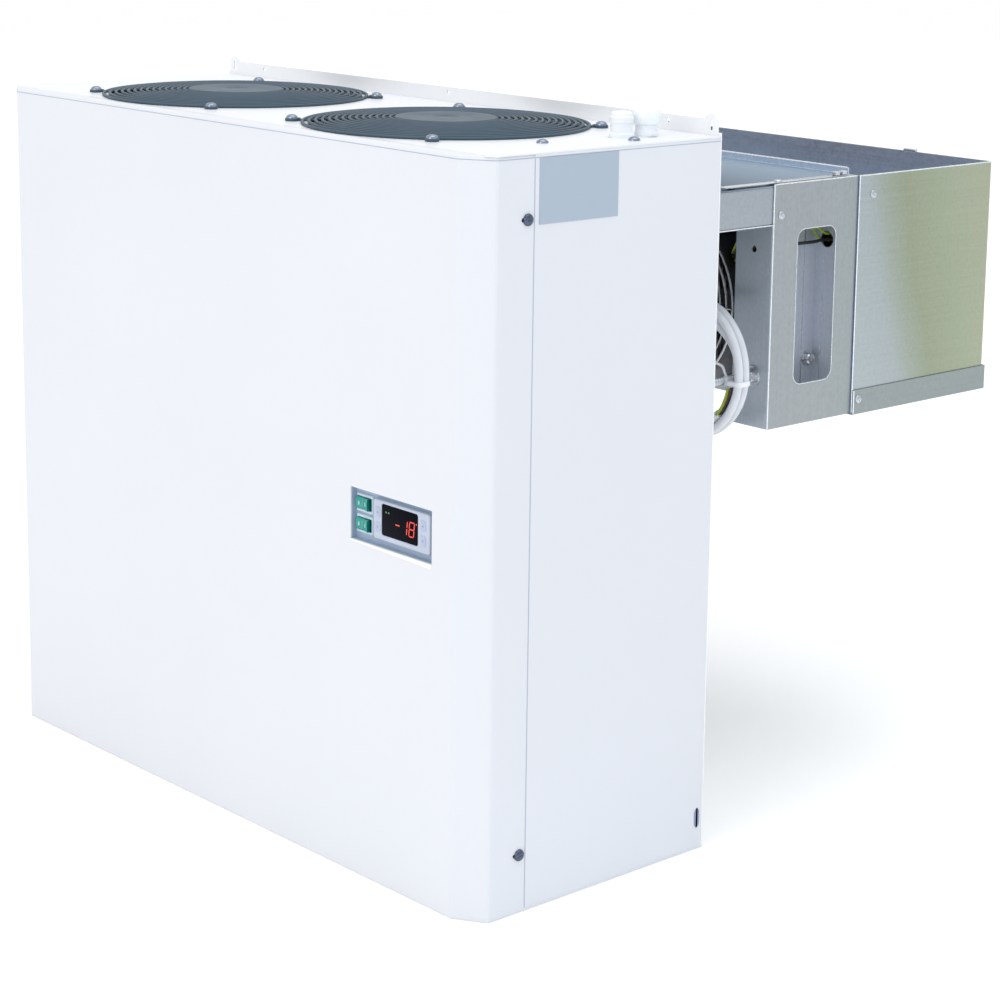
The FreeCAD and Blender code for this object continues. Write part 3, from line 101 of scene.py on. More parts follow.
class Nodes:
    """Short way to lay out one material's nodes."""

    def __init__(self, name: str) -> None:
        """Start an empty material with its shader and output.

        Args:
            name: the material's name.
        """
        self.material = bpy.data.materials.new(PREFIX + name)
        self.material.use_nodes = True
        self.tree = self.material.node_tree
        self.shader = self.tree.nodes["Principled BSDF"]

    def add(self, kind: str, **values: object) -> bpy.types.Node:
        """Add a node.

        Args:
            kind: the node's type, without its ShaderNode prefix.
            values: settings, or inputs by their names with spaces as underscores.

        Returns:
            The new node.
        """
        node = self.tree.nodes.new("ShaderNode" + kind)
        for key, value in values.items():
            if hasattr(node, key):
                setattr(node, key, value)
            else:
                node.inputs[key.replace("_", " ")].default_value = value
        return node

    def link(self, source: bpy.types.NodeSocket, target: bpy.types.NodeSocket) -> None:
        """Join two sockets."""
        self.tree.links.new(source, target)

    def place(self, scale: Point = (1.0, 1.0, 1.0)) -> bpy.types.NodeSocket:
        """Object coordinates, scaled on each axis.

        Args:
            scale: the factors for X, Y and Z.

        Returns:
            The coordinates' socket.
        """
        mapping = self.add("Mapping")
        mapping.inputs["Scale"].default_value = scale
        self.link(self.add("TexCoord").outputs["Object"], mapping.inputs["Vector"])
        return mapping.outputs["Vector"]

    def noise(self, at: bpy.types.NodeSocket, scale: float, detail: float = 4.0) -> bpy.types.NodeSocket:
        """Noise from 0 to 1 over the given coordinates.

        Args:
            at: the coordinates.
            scale: its fineness, in waves per metre.
            detail: octaves of finer noise.

        Returns:
            The noise's socket.
        """
        node = self.add("TexNoise", Scale=scale, Detail=detail)
        self.link(at, node.inputs["Vector"])
        return node.outputs["Fac"]

    def spread(self, source: bpy.types.NodeSocket, low: float, high: float) -> bpy.types.NodeSocket:
        """Noise widened from its usual 0.3 to 0.7 to the range low to high.

        Args:
            source: the noise.
            low: what 0.3 becomes.
            high: what 0.7 becomes.

        Returns:
            The widened socket.
        """
        node = self.add("MapRange", From_Min=0.3, From_Max=0.7, To_Min=low, To_Max=high)
        self.link(source, node.inputs["Value"])
        return node.outputs["Result"]

    def tint(self, factor: bpy.types.NodeSocket, first: Colour, second: Colour) -> bpy.types.NodeSocket:
        """Colour that goes from first to second with a factor from 0 to 1."""
        return self.ramp(factor, ((0.0, first), (1.0, second)))

    def ramp(self, factor: bpy.types.NodeSocket, tones: Tones) -> bpy.types.NodeSocket:
        """Colour that passes through several tones, each at its own factor.

        Args:
            factor: socket that runs from 0 to 1.
            tones: the tones, each with its factor.

        Returns:
            The colour's socket.
        """
        node = self.add("ValToRGB")
        stops = node.color_ramp.elements
        for stop, (place, colour) in zip((stops[0], stops[-1]), (tones[0], tones[-1])):
            stop.position, stop.color = place, (*colour, 1.0)
        for place, colour in tones[1:-1]:
            stops.new(place).color = (*colour, 1.0)
        self.link(factor, node.inputs["Fac"])
        return node.outputs["Color"]

    def bump(self, height: bpy.types.NodeSocket, strength: float, depth: float) -> None:
        """Raise the surface with a height socket.

        Args:
            height: socket of heights from 0 to 1.
            strength: share of the effect.
            depth: height of 1, in metres.
        """
        node = self.add("Bump", Strength=strength, Distance=depth)
        self.link(height, node.inputs["Height"])
        self.link(node.outputs["Normal"], self.shader.inputs["Normal"])

    def settle(self, **inputs: object) -> bpy.types.Material:
        """Set plain values on the shader's own sockets.

        Args:
            inputs: values by socket name, with underscores for its spaces.

        Returns:
            The material.
        """
        for key, value in inputs.items():
            self.shader.inputs[key.replace("_", " ")].default_value = value
        return self.material


def shade(colour: Colour, factor: float) -> Colour:
    """A colour made lighter or darker by a factor."""
    return tuple(min(1.0, channel * factor) for channel in colour)


@dataclass(frozen=True)
class PaintedSheet:
    """Stoved paint on sheet steel: faint orange peel and a slow drift of tone."""

    name: str
    colour: Colour
    roughness: float = 0.32
    peel: float = 0.16
    varnish: float = 0.15

    def material(self) -> bpy.types.Material:
        """Build the paint.

        Returns:
            Its material.
        """
        n = Nodes(self.name)
        at = n.place()
        drift = n.spread(n.noise(at, 4.0, 2.0), 0.0, 1.0)
        n.link(n.tint(drift, shade(self.colour, 0.975), self.colour), n.shader.inputs["Base Color"])
        rough = n.spread(n.noise(at, 60.0), self.roughness - 0.04, self.roughness + 0.05)
        n.link(rough, n.shader.inputs["Roughness"])
        n.bump(n.noise(at, 900.0, 2.0), self.peel, 0.0002)
        return n.settle(Coat_Weight=self.varnish, Coat_Roughness=0.2)


@dataclass(frozen=True)
class BareSheet:
    """Bare galvanised sheet: fine mottle, faint rolling streaks and soft bands of tone along Y.

    The tones lie at shares of the way from start to end, in metres of Y + lean Z, and a slow drift bends
    the lines between them; on the hood these bands are painted reflection, and on the lids painted shade.
    Faces that look back at the wall have their tone raised by a factor, painted light and painted reflection
    of what lies behind them, and the rim tone dulls what a face shows at a grazing angle.
    """

    name: str
    tones: Tones
    grain: Grain = Grain.LEVEL
    roughness: float = 0.34
    # Factor on faces that look back at the wall: painted light and painted reflection.
    back_face_painted_light: Colour = (1.0, 1.0, 1.0)
    metal: float = 1.0
    start: float = 0.24
    end: float = 0.37
    rim: Colour = (1.0, 1.0, 1.0)
    lean: float = 0.0

    def material(self) -> bpy.types.Material:
        """Build the metal.

        Returns:
            Its material.
        """
        n = Nodes(self.name)
        at = n.place()
        both = n.add("Mix", data_type="FLOAT")
        both.inputs["Factor"].default_value = 0.6
        n.link(n.noise(n.place(self.grain.value), 1.0, 5.0), both.inputs[2])
        n.link(n.noise(at, 260.0, 6.0), both.inputs[3])
        mixed = both.outputs[0]
        where = n.add("SeparateXYZ")
        n.link(at, where.inputs["Vector"])
        leant = n.add("Math", operation="MULTIPLY_ADD")
        n.link(where.outputs["Z"], leant.inputs[0])
        leant.inputs[1].default_value = self.lean
        n.link(where.outputs["Y"], leant.inputs[2])
        bent = n.add("Math", operation="ADD")
        n.link(leant.outputs["Value"], bent.inputs[0])
        n.link(n.spread(n.noise(at, 7.0, 1.0), -0.006, 0.006), bent.inputs[1])
        # Bands of tone along Y: painted reflection on the hood and painted shade on the lids.
        share = n.add("MapRange", From_Min=self.start, From_Max=self.end)
        n.link(bent.outputs["Value"], share.inputs["Value"])
        # Faces turned back towards the wall get their tone raised: painted light and painted reflection.
        facing = n.add("SeparateXYZ")
        n.link(n.add("NewGeometry").outputs["Normal"], facing.inputs["Vector"])
        back = n.add("MapRange", From_Min=-0.9, From_Max=-0.4)
        n.link(facing.outputs["Y"], back.inputs["Value"])
        painted_light_tone = n.add("VectorMath", operation="MULTIPLY")
        n.link(n.ramp(share.outputs["Result"], self.tones), painted_light_tone.inputs[0])
        n.link(n.tint(back.outputs["Result"], self.back_face_painted_light, (1.0, 1.0, 1.0)), painted_light_tone.inputs[1])
        tone = n.add("VectorMath", operation="SCALE")
        n.link(painted_light_tone.outputs["Vector"], tone.inputs["Vector"])
        n.link(n.spread(mixed, 0.9, 1.08), tone.inputs["Scale"])
        n.link(tone.outputs["Vector"], n.shader.inputs["Base Color"])
        n.link(n.spread(mixed, self.roughness - 0.06, self.roughness + 0.08), n.shader.inputs["Roughness"])
        n.bump(mixed, 0.10, 0.0002)
        return n.settle(Metallic=self.metal, Specular_Tint=(*self.rim, 1.0))


@dataclass(frozen=True)
class PlainMetal:
    """Turned, plated or drawn metal with fine marks."""

    name: str
    colour: Colour
    roughness: float = 0.25
    marks: float = 700.0

    def material(self) -> bpy.types.Material:
        """Build the metal.

        Returns:
            Its material.
        """
        n = Nodes(self.name)
        marks = n.noise(n.place(), self.marks)
        tone = n.tint(n.spread(marks, 0.0, 1.0), shade(self.colour, 0.86), shade(self.colour, 1.1))
        n.link(tone, n.shader.inputs["Base Color"])
        n.link(n.spread(marks, self.roughness - 0.06, self.roughness + 0.1), n.shader.inputs["Roughness"])
        n.bump(marks, 0.08, 0.0001)
        return n.settle(Metallic=1.0)


@dataclass(frozen=True)
class Moulded:
    """Moulded plastic, rubber or sheath with a fine grain."""

    name: str
    colour: Colour
    roughness: float = 0.5
    grain: float = 1400.0
    relief: float = 0.2
    gloss: float = 0.5

    def material(self) -> bpy.types.Material:
        """Build the plastic.

        Returns:
            Its material.
        """
        n = Nodes(self.name)
        at = n.place()
        slow = n.spread(n.noise(at, 45.0, 3.0), 0.0, 1.0)
        n.link(n.tint(slow, shade(self.colour, 0.93), shade(self.colour, 1.04)), n.shader.inputs["Base Color"])
        rough = n.spread(n.noise(at, 300.0), max(self.roughness - 0.06, 0.03), self.roughness + 0.07)
        n.link(rough, n.shader.inputs["Roughness"])
        n.bump(n.noise(at, self.grain, 2.0), self.relief, 0.0001)
        return n.settle(Specular_IOR_Level=self.gloss)


@dataclass(frozen=True)
class Glow:
    """Lit segment behind the display's window."""

    name: str
    colour: Colour
    strength: float

    def material(self) -> bpy.types.Material:
        """Build the light.

        Returns:
            Its material.
        """
        n = Nodes(self.name)
        flicker = n.spread(n.noise(n.place(), 900.0, 2.0), 0.0, 1.0)
        tone = n.tint(flicker, shade(self.colour, 0.85), self.colour)
        n.link(tone, n.shader.inputs["Base Color"])
        n.link(tone, n.shader.inputs["Emission Color"])
        return n.settle(Emission_Strength=self.strength, Roughness=0.4)


@dataclass(frozen=True)
class PaperFloor:
    """White lit paper under the unit, with a trace of fibre."""

    name: str
    colour: Colour = (0.97, 0.97, 0.97)
    lit: float = 0.12

    def material(self) -> bpy.types.Material:
        """Build the paper.

        Returns:
            Its material.
        """
        n = Nodes(self.name)
        fibre = n.spread(n.noise(n.place(), 300.0, 2.0), 0.0, 1.0)
        n.link(n.tint(fibre, shade(self.colour, 0.996), self.colour), n.shader.inputs["Base Color"])
        return n.settle(Roughness=0.95, Specular_IOR_Level=0.1, Emission_Color=(1.0, 1.0, 1.0, 1.0),
                        Emission_Strength=self.lit)


WHITE_PAINT = PaintedSheet("white_paint", (0.687, 0.704, 0.742))
# Top and rear: painted light, lighter copies of the same white paint.
TOP_PAINT_PAINTED_LIGHT = PaintedSheet("white_paint_top_painted_light", (0.78, 0.795, 0.82), 0.36)
REAR_PAINT_PAINTED_LIGHT = PaintedSheet("white_paint_rear_painted_light", (0.83, 0.84, 0.86), 0.36)
BLACK_PAINT = PaintedSheet("black_paint", (0.020, 0.025, 0.031), 0.36, 0.1)
GUARD_PAINT = PaintedSheet("guard_coating", (0.038, 0.074, 0.108), 0.5, 0.05, 0.0)
BEZEL_PAINT = PaintedSheet("bezel_paint", (0.33, 0.42, 0.54), 0.4, 0.2)
# Hood: painted reflection. The bands along Y and Z and the bluish lift of the back faces stand for what the sheet
# reflects.
HOOD_SHEET_PAINTED_REFLECTION = BareSheet("hood_sheet", ((0.0, (0.40, 0.45, 0.46)), (0.20, (0.385, 0.43, 0.44)),
                                      (0.33, (0.335, 0.375, 0.32)), (0.45, (0.31, 0.345, 0.25)),
                                      (0.72, (0.345, 0.39, 0.285)), (1.0, (0.38, 0.41, 0.305))),
                       back_face_painted_light=(1.07, 1.10, 1.80), start=0.48, end=0.68, lean=0.25)
# Brackets: painted light. Their faces towards the wall take about 1.6 times the sheet's tone.
BRACKET_SHEET_PAINTED_LIGHT = BareSheet("bracket_sheet_painted_light", ((0.0, (0.34, 0.365, 0.38)), (1.0, (0.325, 0.36, 0.365))),
                          Grain.UPRIGHT, back_face_painted_light=(1.55, 1.60, 1.68), metal=0.8)
# Fan plate: painted light. A much lighter, half-metallic copy of the galvanised sheet, to light it inside its dark
# cavity.
PLATE_SHEET_PAINTED_LIGHT = BareSheet("fan_plate_sheet_painted_light", ((0.0, (0.62, 0.66, 0.74)), (1.0, (0.58, 0.62, 0.69))),
                        Grain.UPRIGHT, 0.4, metal=0.5)
BRIDGE_SHEET = BareSheet("bridge_sheet", ((0.0, (0.35, 0.385, 0.415)), (1.0, (0.325, 0.365, 0.405))),
                         Grain.ACROSS)
# Lids: painted shade, near black at the cabinet end and paling towards the hood.
LID_SHEET_PAINTED_SHADE = BareSheet("lid_sheet_painted_shade", ((0.0, (0.11, 0.15, 0.19)), (1.0, (0.60, 0.69, 0.80))), Grain.ACROSS,
                      start=0.14, rim=(0.46, 0.52, 0.57))
TRAY_SHEET = BareSheet("tray_sheet", ((0.0, (0.32, 0.35, 0.35)), (1.0, (0.295, 0.335, 0.335))), roughness=0.38,
                       start=0.0, end=0.56)
INNER_SHEET = BareSheet("inner_sheet", ((0.0, (0.36, 0.39, 0.42)), (1.0, (0.34, 0.36, 0.38))), Grain.UPRIGHT,
                        0.42, start=-0.14, end=0.14)
# Painted highlight: a far lighter metal than the sheets, for the beads on their bends and cut edges.
SHEET_EDGE_HIGHLIGHT = PlainMetal("sheet_edge_painted_highlight", (0.84, 0.88, 0.92), 0.24, 500.0)
ZINC = PlainMetal("zinc_plate", (0.58, 0.60, 0.63), 0.2)
SCREW_STEEL = PlainMetal("screw_steel", (0.27, 0.31, 0.38), 0.16)
# Painted shade: a much darker copy of the screw steel, for the screws on the cabinet's sides.
SCREW_STEEL_PAINTED_SHADE = PlainMetal("screw_steel_painted_shade", (0.10, 0.12, 0.17), 0.14)
BRIGHT_ZINC = PlainMetal("bright_zinc", (0.50, 0.53, 0.57), 0.12)
SEAM_SHADE = PaintedSheet("seam_shade", (0.36, 0.42, 0.50), 0.6, 0.05)
COPPER = PlainMetal("drawn_copper", (0.72, 0.36, 0.22), 0.28, 260.0)
FIN_ALUMINIUM = PlainMetal("fin_aluminium", (0.74, 0.75, 0.76), 0.36, 120.0)
STEEL = PlainMetal("motor_steel", (0.40, 0.40, 0.41), 0.34)
BLACK_PLASTIC = Moulded("black_plastic", (0.020, 0.021, 0.023), 0.42)
BLACK_RUBBER = Moulded("black_rubber", (0.016, 0.016, 0.017), 0.72, 700.0, 0.4)
FOAM = Moulded("foam", (0.62, 0.60, 0.52), 0.85, 420.0, 0.8)
FACIA_PLASTIC = Moulded("facia_plastic", (0.45, 0.50, 0.60), 0.46)
KEY_PLASTIC = Moulded("key_plastic", (0.40, 0.45, 0.60), 0.4)
# Painted highlight: a pale strip for the lit lower return of the control cut-out.
LIP_PAINTED_HIGHLIGHT = PaintedSheet("lip_white", (0.84, 0.83, 0.76), 0.3, 0.05)
WINDOW_PLASTIC = Moulded("display_window", (0.002, 0.002, 0.006), 0.10, 200.0, 0.0, 0.03)
SWITCH_GREEN = Moulded("switch_green", (0.008, 0.27, 0.23), 0.14, 500.0, 0.03)
SWITCH_BLACK = Moulded("switch_black", (0.012, 0.013, 0.020), 0.22, 900.0, 0.05)
SWITCH_COVER = Moulded("switch_cover", (0.50, 0.62, 0.70), 0.16, 600.0, 0.05)
CAP_WHITE = Moulded("cap_white", (0.84, 0.87, 0.90), 0.3, 900.0, 0.02)
PLATE_GREY = PaintedSheet("bare_plate", (0.36, 0.435, 0.515), 0.42, 0.05)
CORD_SHEATH = Moulded("cord_sheath", (0.70, 0.72, 0.76), 0.42, 500.0, 0.1)
TIE_NYLON = Moulded("tie_nylon", (0.82, 0.84, 0.88), 0.34, 600.0, 0.15)
CORE_GREEN = Moulded("core_green", (0.30, 0.42, 0.03), 0.4)
CORE_BROWN = Moulded("core_brown", (0.16, 0.06, 0.03), 0.4)
CORE_BLUE = Moulded("core_blue", (0.05, 0.16, 0.42), 0.4)
MARK_WHITE = Moulded("mark_white", (0.72, 0.85, 0.84), 0.5)
# Printed marks on the keys, and painted shade in the side slot.
MARK_AND_SHADE_GREY = Moulded("mark_and_shade_grey", (0.25, 0.28, 0.40), 0.5)
RED_GLOW = Glow("red_segment", (0.62, 0.040, 0.024), 0.75)
GREEN_GLOW = Glow("green_lamp", (0.08, 0.20, 0.07), 0.6)
FLOOR_PALE = PaperFloor("floor_pale")

Finish = PaintedSheet | BareSheet | PlainMetal | Moulded | Glow | PaperFloor


def coat(piece: bpy.types.Object, finish: Finish) -> None:
    """Give a piece one finish, built once and shared.

    Args:
        piece: the object.
        finish: its finish.
    """
    material = bpy.data.materials.get(PREFIX + finish.name) or finish.material()
    piece.data.materials.clear()
    piece.data.materials.append(material)


# Shapes


@dataclass
class Shape:
    """Points in millimetres and the faces between them."""

    points: np.ndarray
    faces: list[tuple[int, ...]]

    def moved(self, by: Point) -> Shape:
        """The same shape shifted."""
        return Shape(self.points + np.asarray(by, float), self.faces)

    def turned(self, axis: str, degrees: float) -> Shape:
        """The same shape turned about an axis through the origin, by the right-hand rule."""
        turn = np.array(Matrix.Rotation(math.radians(degrees), 3, axis))
        return Shape(self.points @ turn.T, self.faces)


def joined(shapes: Iterable[Shape]) -> Shape:
    """Several shapes as one, their faces counted on.

    Args:
        shapes: the shapes.

    Returns:
        The one shape.
    """
    points, faces, count = [], [], 0
    for shape in shapes:
        points.append(shape.points)
        faces += [tuple(i + count for i in face) for face in shape.faces]
        count += len(shape.points)
    return Shape(np.concatenate(points), faces)


def lattice(points: np.ndarray, wrap_rows: bool = False, wrap_columns: bool = False,
            capped: bool = False) -> Shape:
    """Quads between the rows and columns of a grid of points.

    Args:
        points: rows by columns by 3.
        wrap_rows: the last row joins the first.
        wrap_columns: the last column joins the first.
        capped: the first and last rows are closed by one face each.

    Returns:
        The surface.
    """
    rows, columns = points.shape[:2]
    index = np.arange(rows * columns).reshape(rows, columns)
    r = np.arange(rows if wrap_rows else rows - 1)[:, None]
    c = np.arange(columns if wrap_columns else columns - 1)[None, :]
    r1, c1 = (r + 1) % rows, (c + 1) % columns
    quads = np.stack([index[r, c], index[r, c1], index[r1, c1], index[r1, c]], axis=-1)
    faces = [tuple(q) for q in quads.reshape(-1, 4).tolist()]
    if capped:
        faces += [tuple(index[0][::-1].tolist()), tuple(index[-1].tolist())]
    return Shape(points.reshape(-1, 3).astype(float), faces)


def round_angles(steps: int) -> np.ndarray:
    """Angles once round, in even steps, without the last one that would meet the first."""
    return np.linspace(0, 2 * np.pi, steps, endpoint=False)


def turned_piece(profile: Sequence[Point], sides: int = 48) -> Shape:
    """Surface of revolution about Z: (r cos a, r sin a, h) for each (r, h) of the profile and angle a.

    Args:
        profile: radius and height of each point, from axis to axis.
        sides: steps of the angle.

    Returns:
        The surface, whose ends on the axis are closed.
    """
    a = round_angles(sides)[:, None]
    r, h = np.asarray(profile, float).T
    grid = np.stack([r * np.cos(a), r * np.sin(a), h + 0 * a], axis=-1)
    return lattice(grid, wrap_rows=True)


def tube(path: np.ndarray, radius: float | np.ndarray, sides: int = 12, closed: bool = False,
         side: Point = (0.31, 0.52, 0.79)) -> Shape:
    """Round tube: each point of the path plus radius times (cos b U + sin b W) across the tangent.

    Args:
        path: points of the centreline.
        radius: one radius, or one for each point.
        sides: steps of the angle b.
        closed: the path joins its own start.
        side: a direction that the path never runs along.

    Returns:
        The tube, capped unless it is closed.
    """
    path = np.asarray(path, float)
    if closed:
        tangent = np.roll(path, -1, 0) - np.roll(path, 1, 0)
    else:
        tangent = np.gradient(path, axis=0)
    tangent /= np.linalg.norm(tangent, axis=1)[:, None]
    u = np.cross(tangent, np.asarray(side, float))
    u /= np.linalg.norm(u, axis=1)[:, None]
    w = np.cross(tangent, u)
    b = round_angles(sides)
    ring = np.cos(b)[None, :, None] * u[:, None] + np.sin(b)[None, :, None] * w[:, None]
    r = np.broadcast_to(np.asarray(radius, float), (len(path),))[:, None, None]
    return lattice(path[:, None] + ring * r, wrap_rows=closed, wrap_columns=True, capped=not closed)


def circle(radius: float, height: float = 0.0, steps: int = 96) -> np.ndarray:
    """Points (r cos a, r sin a, height) once round."""
    a = round_angles(steps)
    return np.stack([radius * np.cos(a), radius * np.sin(a), height + 0 * a], axis=1)


def flat_circle(radius: float, steps: int, at: Point = (0.0, 0.0)) -> np.ndarray:
    """Outline of a circle about a point, in two columns."""
    return circle(radius, steps=steps)[:, :2] + np.array(at)


def route(corners: Sequence[Point], radius: float, steps: int = 8) -> np.ndarray:
    """Straight runs with a tangent arc at each corner.

    Each arc is centre + R (cos t, sin t) in the plane of its two runs.

    Args:
        corners: the ends and corners of the route.
        radius: the radius of every bend.
        steps: points on each arc.

    Returns:
        The points of the route.
    """
    corners = [np.asarray(c, float) for c in corners]
    path = [corners[0][None]]
    for before, here, after in zip(corners, corners[1:], corners[2:]):
        a, b = before - here, after - here
        a, b = a / np.linalg.norm(a), b / np.linalg.norm(b)
        half = (math.pi - math.acos(float(np.clip(a @ b, -1, 1)))) / 2
        middle = (a + b) / np.linalg.norm(a + b)
        centre = here + middle * radius / math.cos(half)
        t = np.linspace(-half, half, steps)[:, None]
        along = (b - a) / np.linalg.norm(b - a)
        path.append(centre + radius * (np.sin(t) * along - np.cos(t) * middle))
    path.append(corners[-1][None])
    return np.concatenate(path)


def slab(outline: np.ndarray, low: float, high: float, axis: str = "Z", edge: float = 0.0) -> Shape:
    """Plate: an outline carried between two heights, with its edges rounded by shrinking the ends.

    The section's rim follows height(t) and inset(t) of a quarter circle at both ends.

    Args:
        outline: points of a convex outline, anticlockwise, in the plane across the axis.
        low: start along the axis.
        high: end along the axis.
        axis: X, Y or Z. The outline's two columns are the other two axes in X, Y, Z order.
        edge: radius of the rounded edges.

    Returns:
        The closed plate.
    """
    t = np.linspace(0, np.pi / 2, 4) if edge else np.array([np.pi / 2])
    inset = edge * (1 - np.sin(t))
    rise = edge * (1 - np.cos(t))
    level = np.concatenate([low + rise, high - rise[::-1]])
    shrink = np.concatenate([inset, inset[::-1]])
    centre = (outline.max(0) + outline.min(0)) / 2
    half = (outline.max(0) - outline.min(0)) / 2
    scale = 1 - shrink[:, None] / half[None, :]
    flat = centre + (outline - centre)[None] * scale[:, None, :]
    rows = np.dstack([flat, np.broadcast_to(level[:, None], flat.shape[:2])])
    order = {"Z": (0, 1, 2), "Y": (0, 2, 1), "X": (2, 0, 1)}[axis]
    return lattice(rows[:, :, order], wrap_columns=True, capped=True)


def rectangle(u: Point, v: Point, radius: float = 0.0, steps: int = 6) -> np.ndarray:
    """Outline of a rectangle with round corners: each corner's centre plus r (cos t, sin t).

    Args:
        u: its first and last value across.
        v: its first and last value up.
        radius: radius of the corners, 0 for sharp ones.
        steps: points on each corner.

    Returns:
        The outline, one row for each point.
    """
    if not radius:
        return np.array([(u[0], v[0]), (u[1], v[0]), (u[1], v[1]), (u[0], v[1])], float)
    t = np.linspace(0, np.pi / 2, steps)
    parts = []
    for i, (cu, cv) in enumerate([(u[1] - radius, v[1] - radius), (u[0] + radius, v[1] - radius),
                                  (u[0] + radius, v[0] + radius), (u[1] - radius, v[0] + radius)]):
        a = t + i * np.pi / 2
        parts.append(np.stack([cu + radius * np.cos(a), cv + radius * np.sin(a)], axis=1))
    return np.concatenate(parts)


def grown(outline: np.ndarray, by: float) -> np.ndarray:
    """An outline with its sides further out: centre + (point - centre) (1 + by / half)."""
    centre, half = (outline.max(0) + outline.min(0)) / 2, (outline.max(0) - outline.min(0)) / 2
    return centre + (outline - centre) * (1 + by / half)


def upright(outline: np.ndarray, y: float) -> np.ndarray:
    """An outline in X and Z as points at one Y."""
    return np.stack([outline[:, 0], np.full(len(outline), y), outline[:, 1]], axis=1)


def linked(name: str, data: bpy.types.ID) -> bpy.types.Object:
    """New object in the scene, holding the given data.

    Args:
        name: its name.
        data: its mesh, curve, lamp or camera.

    Returns:
        The object.
    """
    made = bpy.data.objects.new(name, data)
    bpy.context.scene.collection.objects.link(made)
    return made


def put(name: str, shape: Shape, finish: Finish, body: str = CASING, stands_for: Sequence[str] = (),
        smooth: float = SMOOTH_ANGLE) -> bpy.types.Object:
    """Make an object from a shape, weld and face it outwards, dress it and fix it to a body.

    Args:
        name: the piece's name.
        shape: its shape, in millimetres.
        finish: its finish.
        body: the CAD body that it moves with.
        stands_for: CAD nodes that it replaces.
        smooth: edges flatter than this angle are shaded smooth.

    Returns:
        The new object.
    """
    mesh = bpy.data.meshes.new(name)
    mesh.from_pydata((shape.points * MM).tolist(), [], shape.faces)
    work = bmesh.new()
    work.from_mesh(mesh)
    bmesh.ops.remove_doubles(work, verts=work.verts, dist=WELD)
    bmesh.ops.recalc_face_normals(work, faces=work.faces)
    work.to_mesh(mesh)
    work.free()
    mesh.shade_smooth()
    mesh.set_sharp_from_angle(angle=smooth)
    return settle(linked(name, mesh), finish, body, stands_for)


def settle(piece: bpy.types.Object, finish: Finish, body: str, stands_for: Sequence[str] = ()) -> bpy.types.Object:
    """Dress a piece, fix it to its body and hide the nodes it stands for.

    Args:
        piece: the piece.
        finish: its finish.
        body: the CAD body that it moves with.
        stands_for: CAD nodes that it replaces.

    Returns:
        The same piece.
    """
    coat(piece, finish)
    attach(piece, body)
    if stands_for:
        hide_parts(*stands_for)
    LOG.info("%s: %d faces", piece.name, len(getattr(piece.data, "polygons", [])))
    return piece


def span(node: str) -> np.ndarray:
    """Lowest and highest corner of a CAD node, in millimetres, as two rows."""
    return np.array([list(corner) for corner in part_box(node)]) / MM


def middle(node: str) -> np.ndarray:
    """Middle of a CAD node's box, in millimetres."""
    return span(node).mean(axis=0)


@dataclass
class Frame:
    """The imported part, and copies of its sheets with softened edges."""

    loaded: dict

    def folded(self, node: str, finish: Finish, edge: float = 0.35) -> bpy.types.Object:
        """Finished copy of a sheet node: welded, its flat facets merged, its edges softened.

        Args:
            node: the CAD node.
            finish: its finish.
            edge: width of the softened edge.

        Returns:
            The copy, which stands for the node.
        """
        mesh = self.loaded["nodes"][node].data.copy()
        work = bmesh.new()
        work.from_mesh(mesh)
        bmesh.ops.remove_doubles(work, verts=work.verts, dist=WELD)
        bmesh.ops.dissolve_limit(work, angle_limit=math.radians(0.4), verts=work.verts, edges=work.edges)
        work.to_mesh(mesh)
        work.free()
        mesh.shade_smooth()
        mesh.set_sharp_from_angle(angle=SMOOTH_ANGLE)
        piece = linked(node + "_sheet", mesh)
        bevel = piece.modifiers.new("edges", "BEVEL")
        bevel.width = edge * MM
        bevel.segments = 2
        bevel.limit_method = "ANGLE"
        bevel.angle_limit = math.radians(50)
        bevel.use_clamp_overlap = True
        return settle(piece, finish, CASING, [node])

    def dress(self, node: str, finish: Finish) -> None:
        """Finish a CAD node that shows as it is."""
        coat(self.loaded["nodes"][node], finish)


# Studio


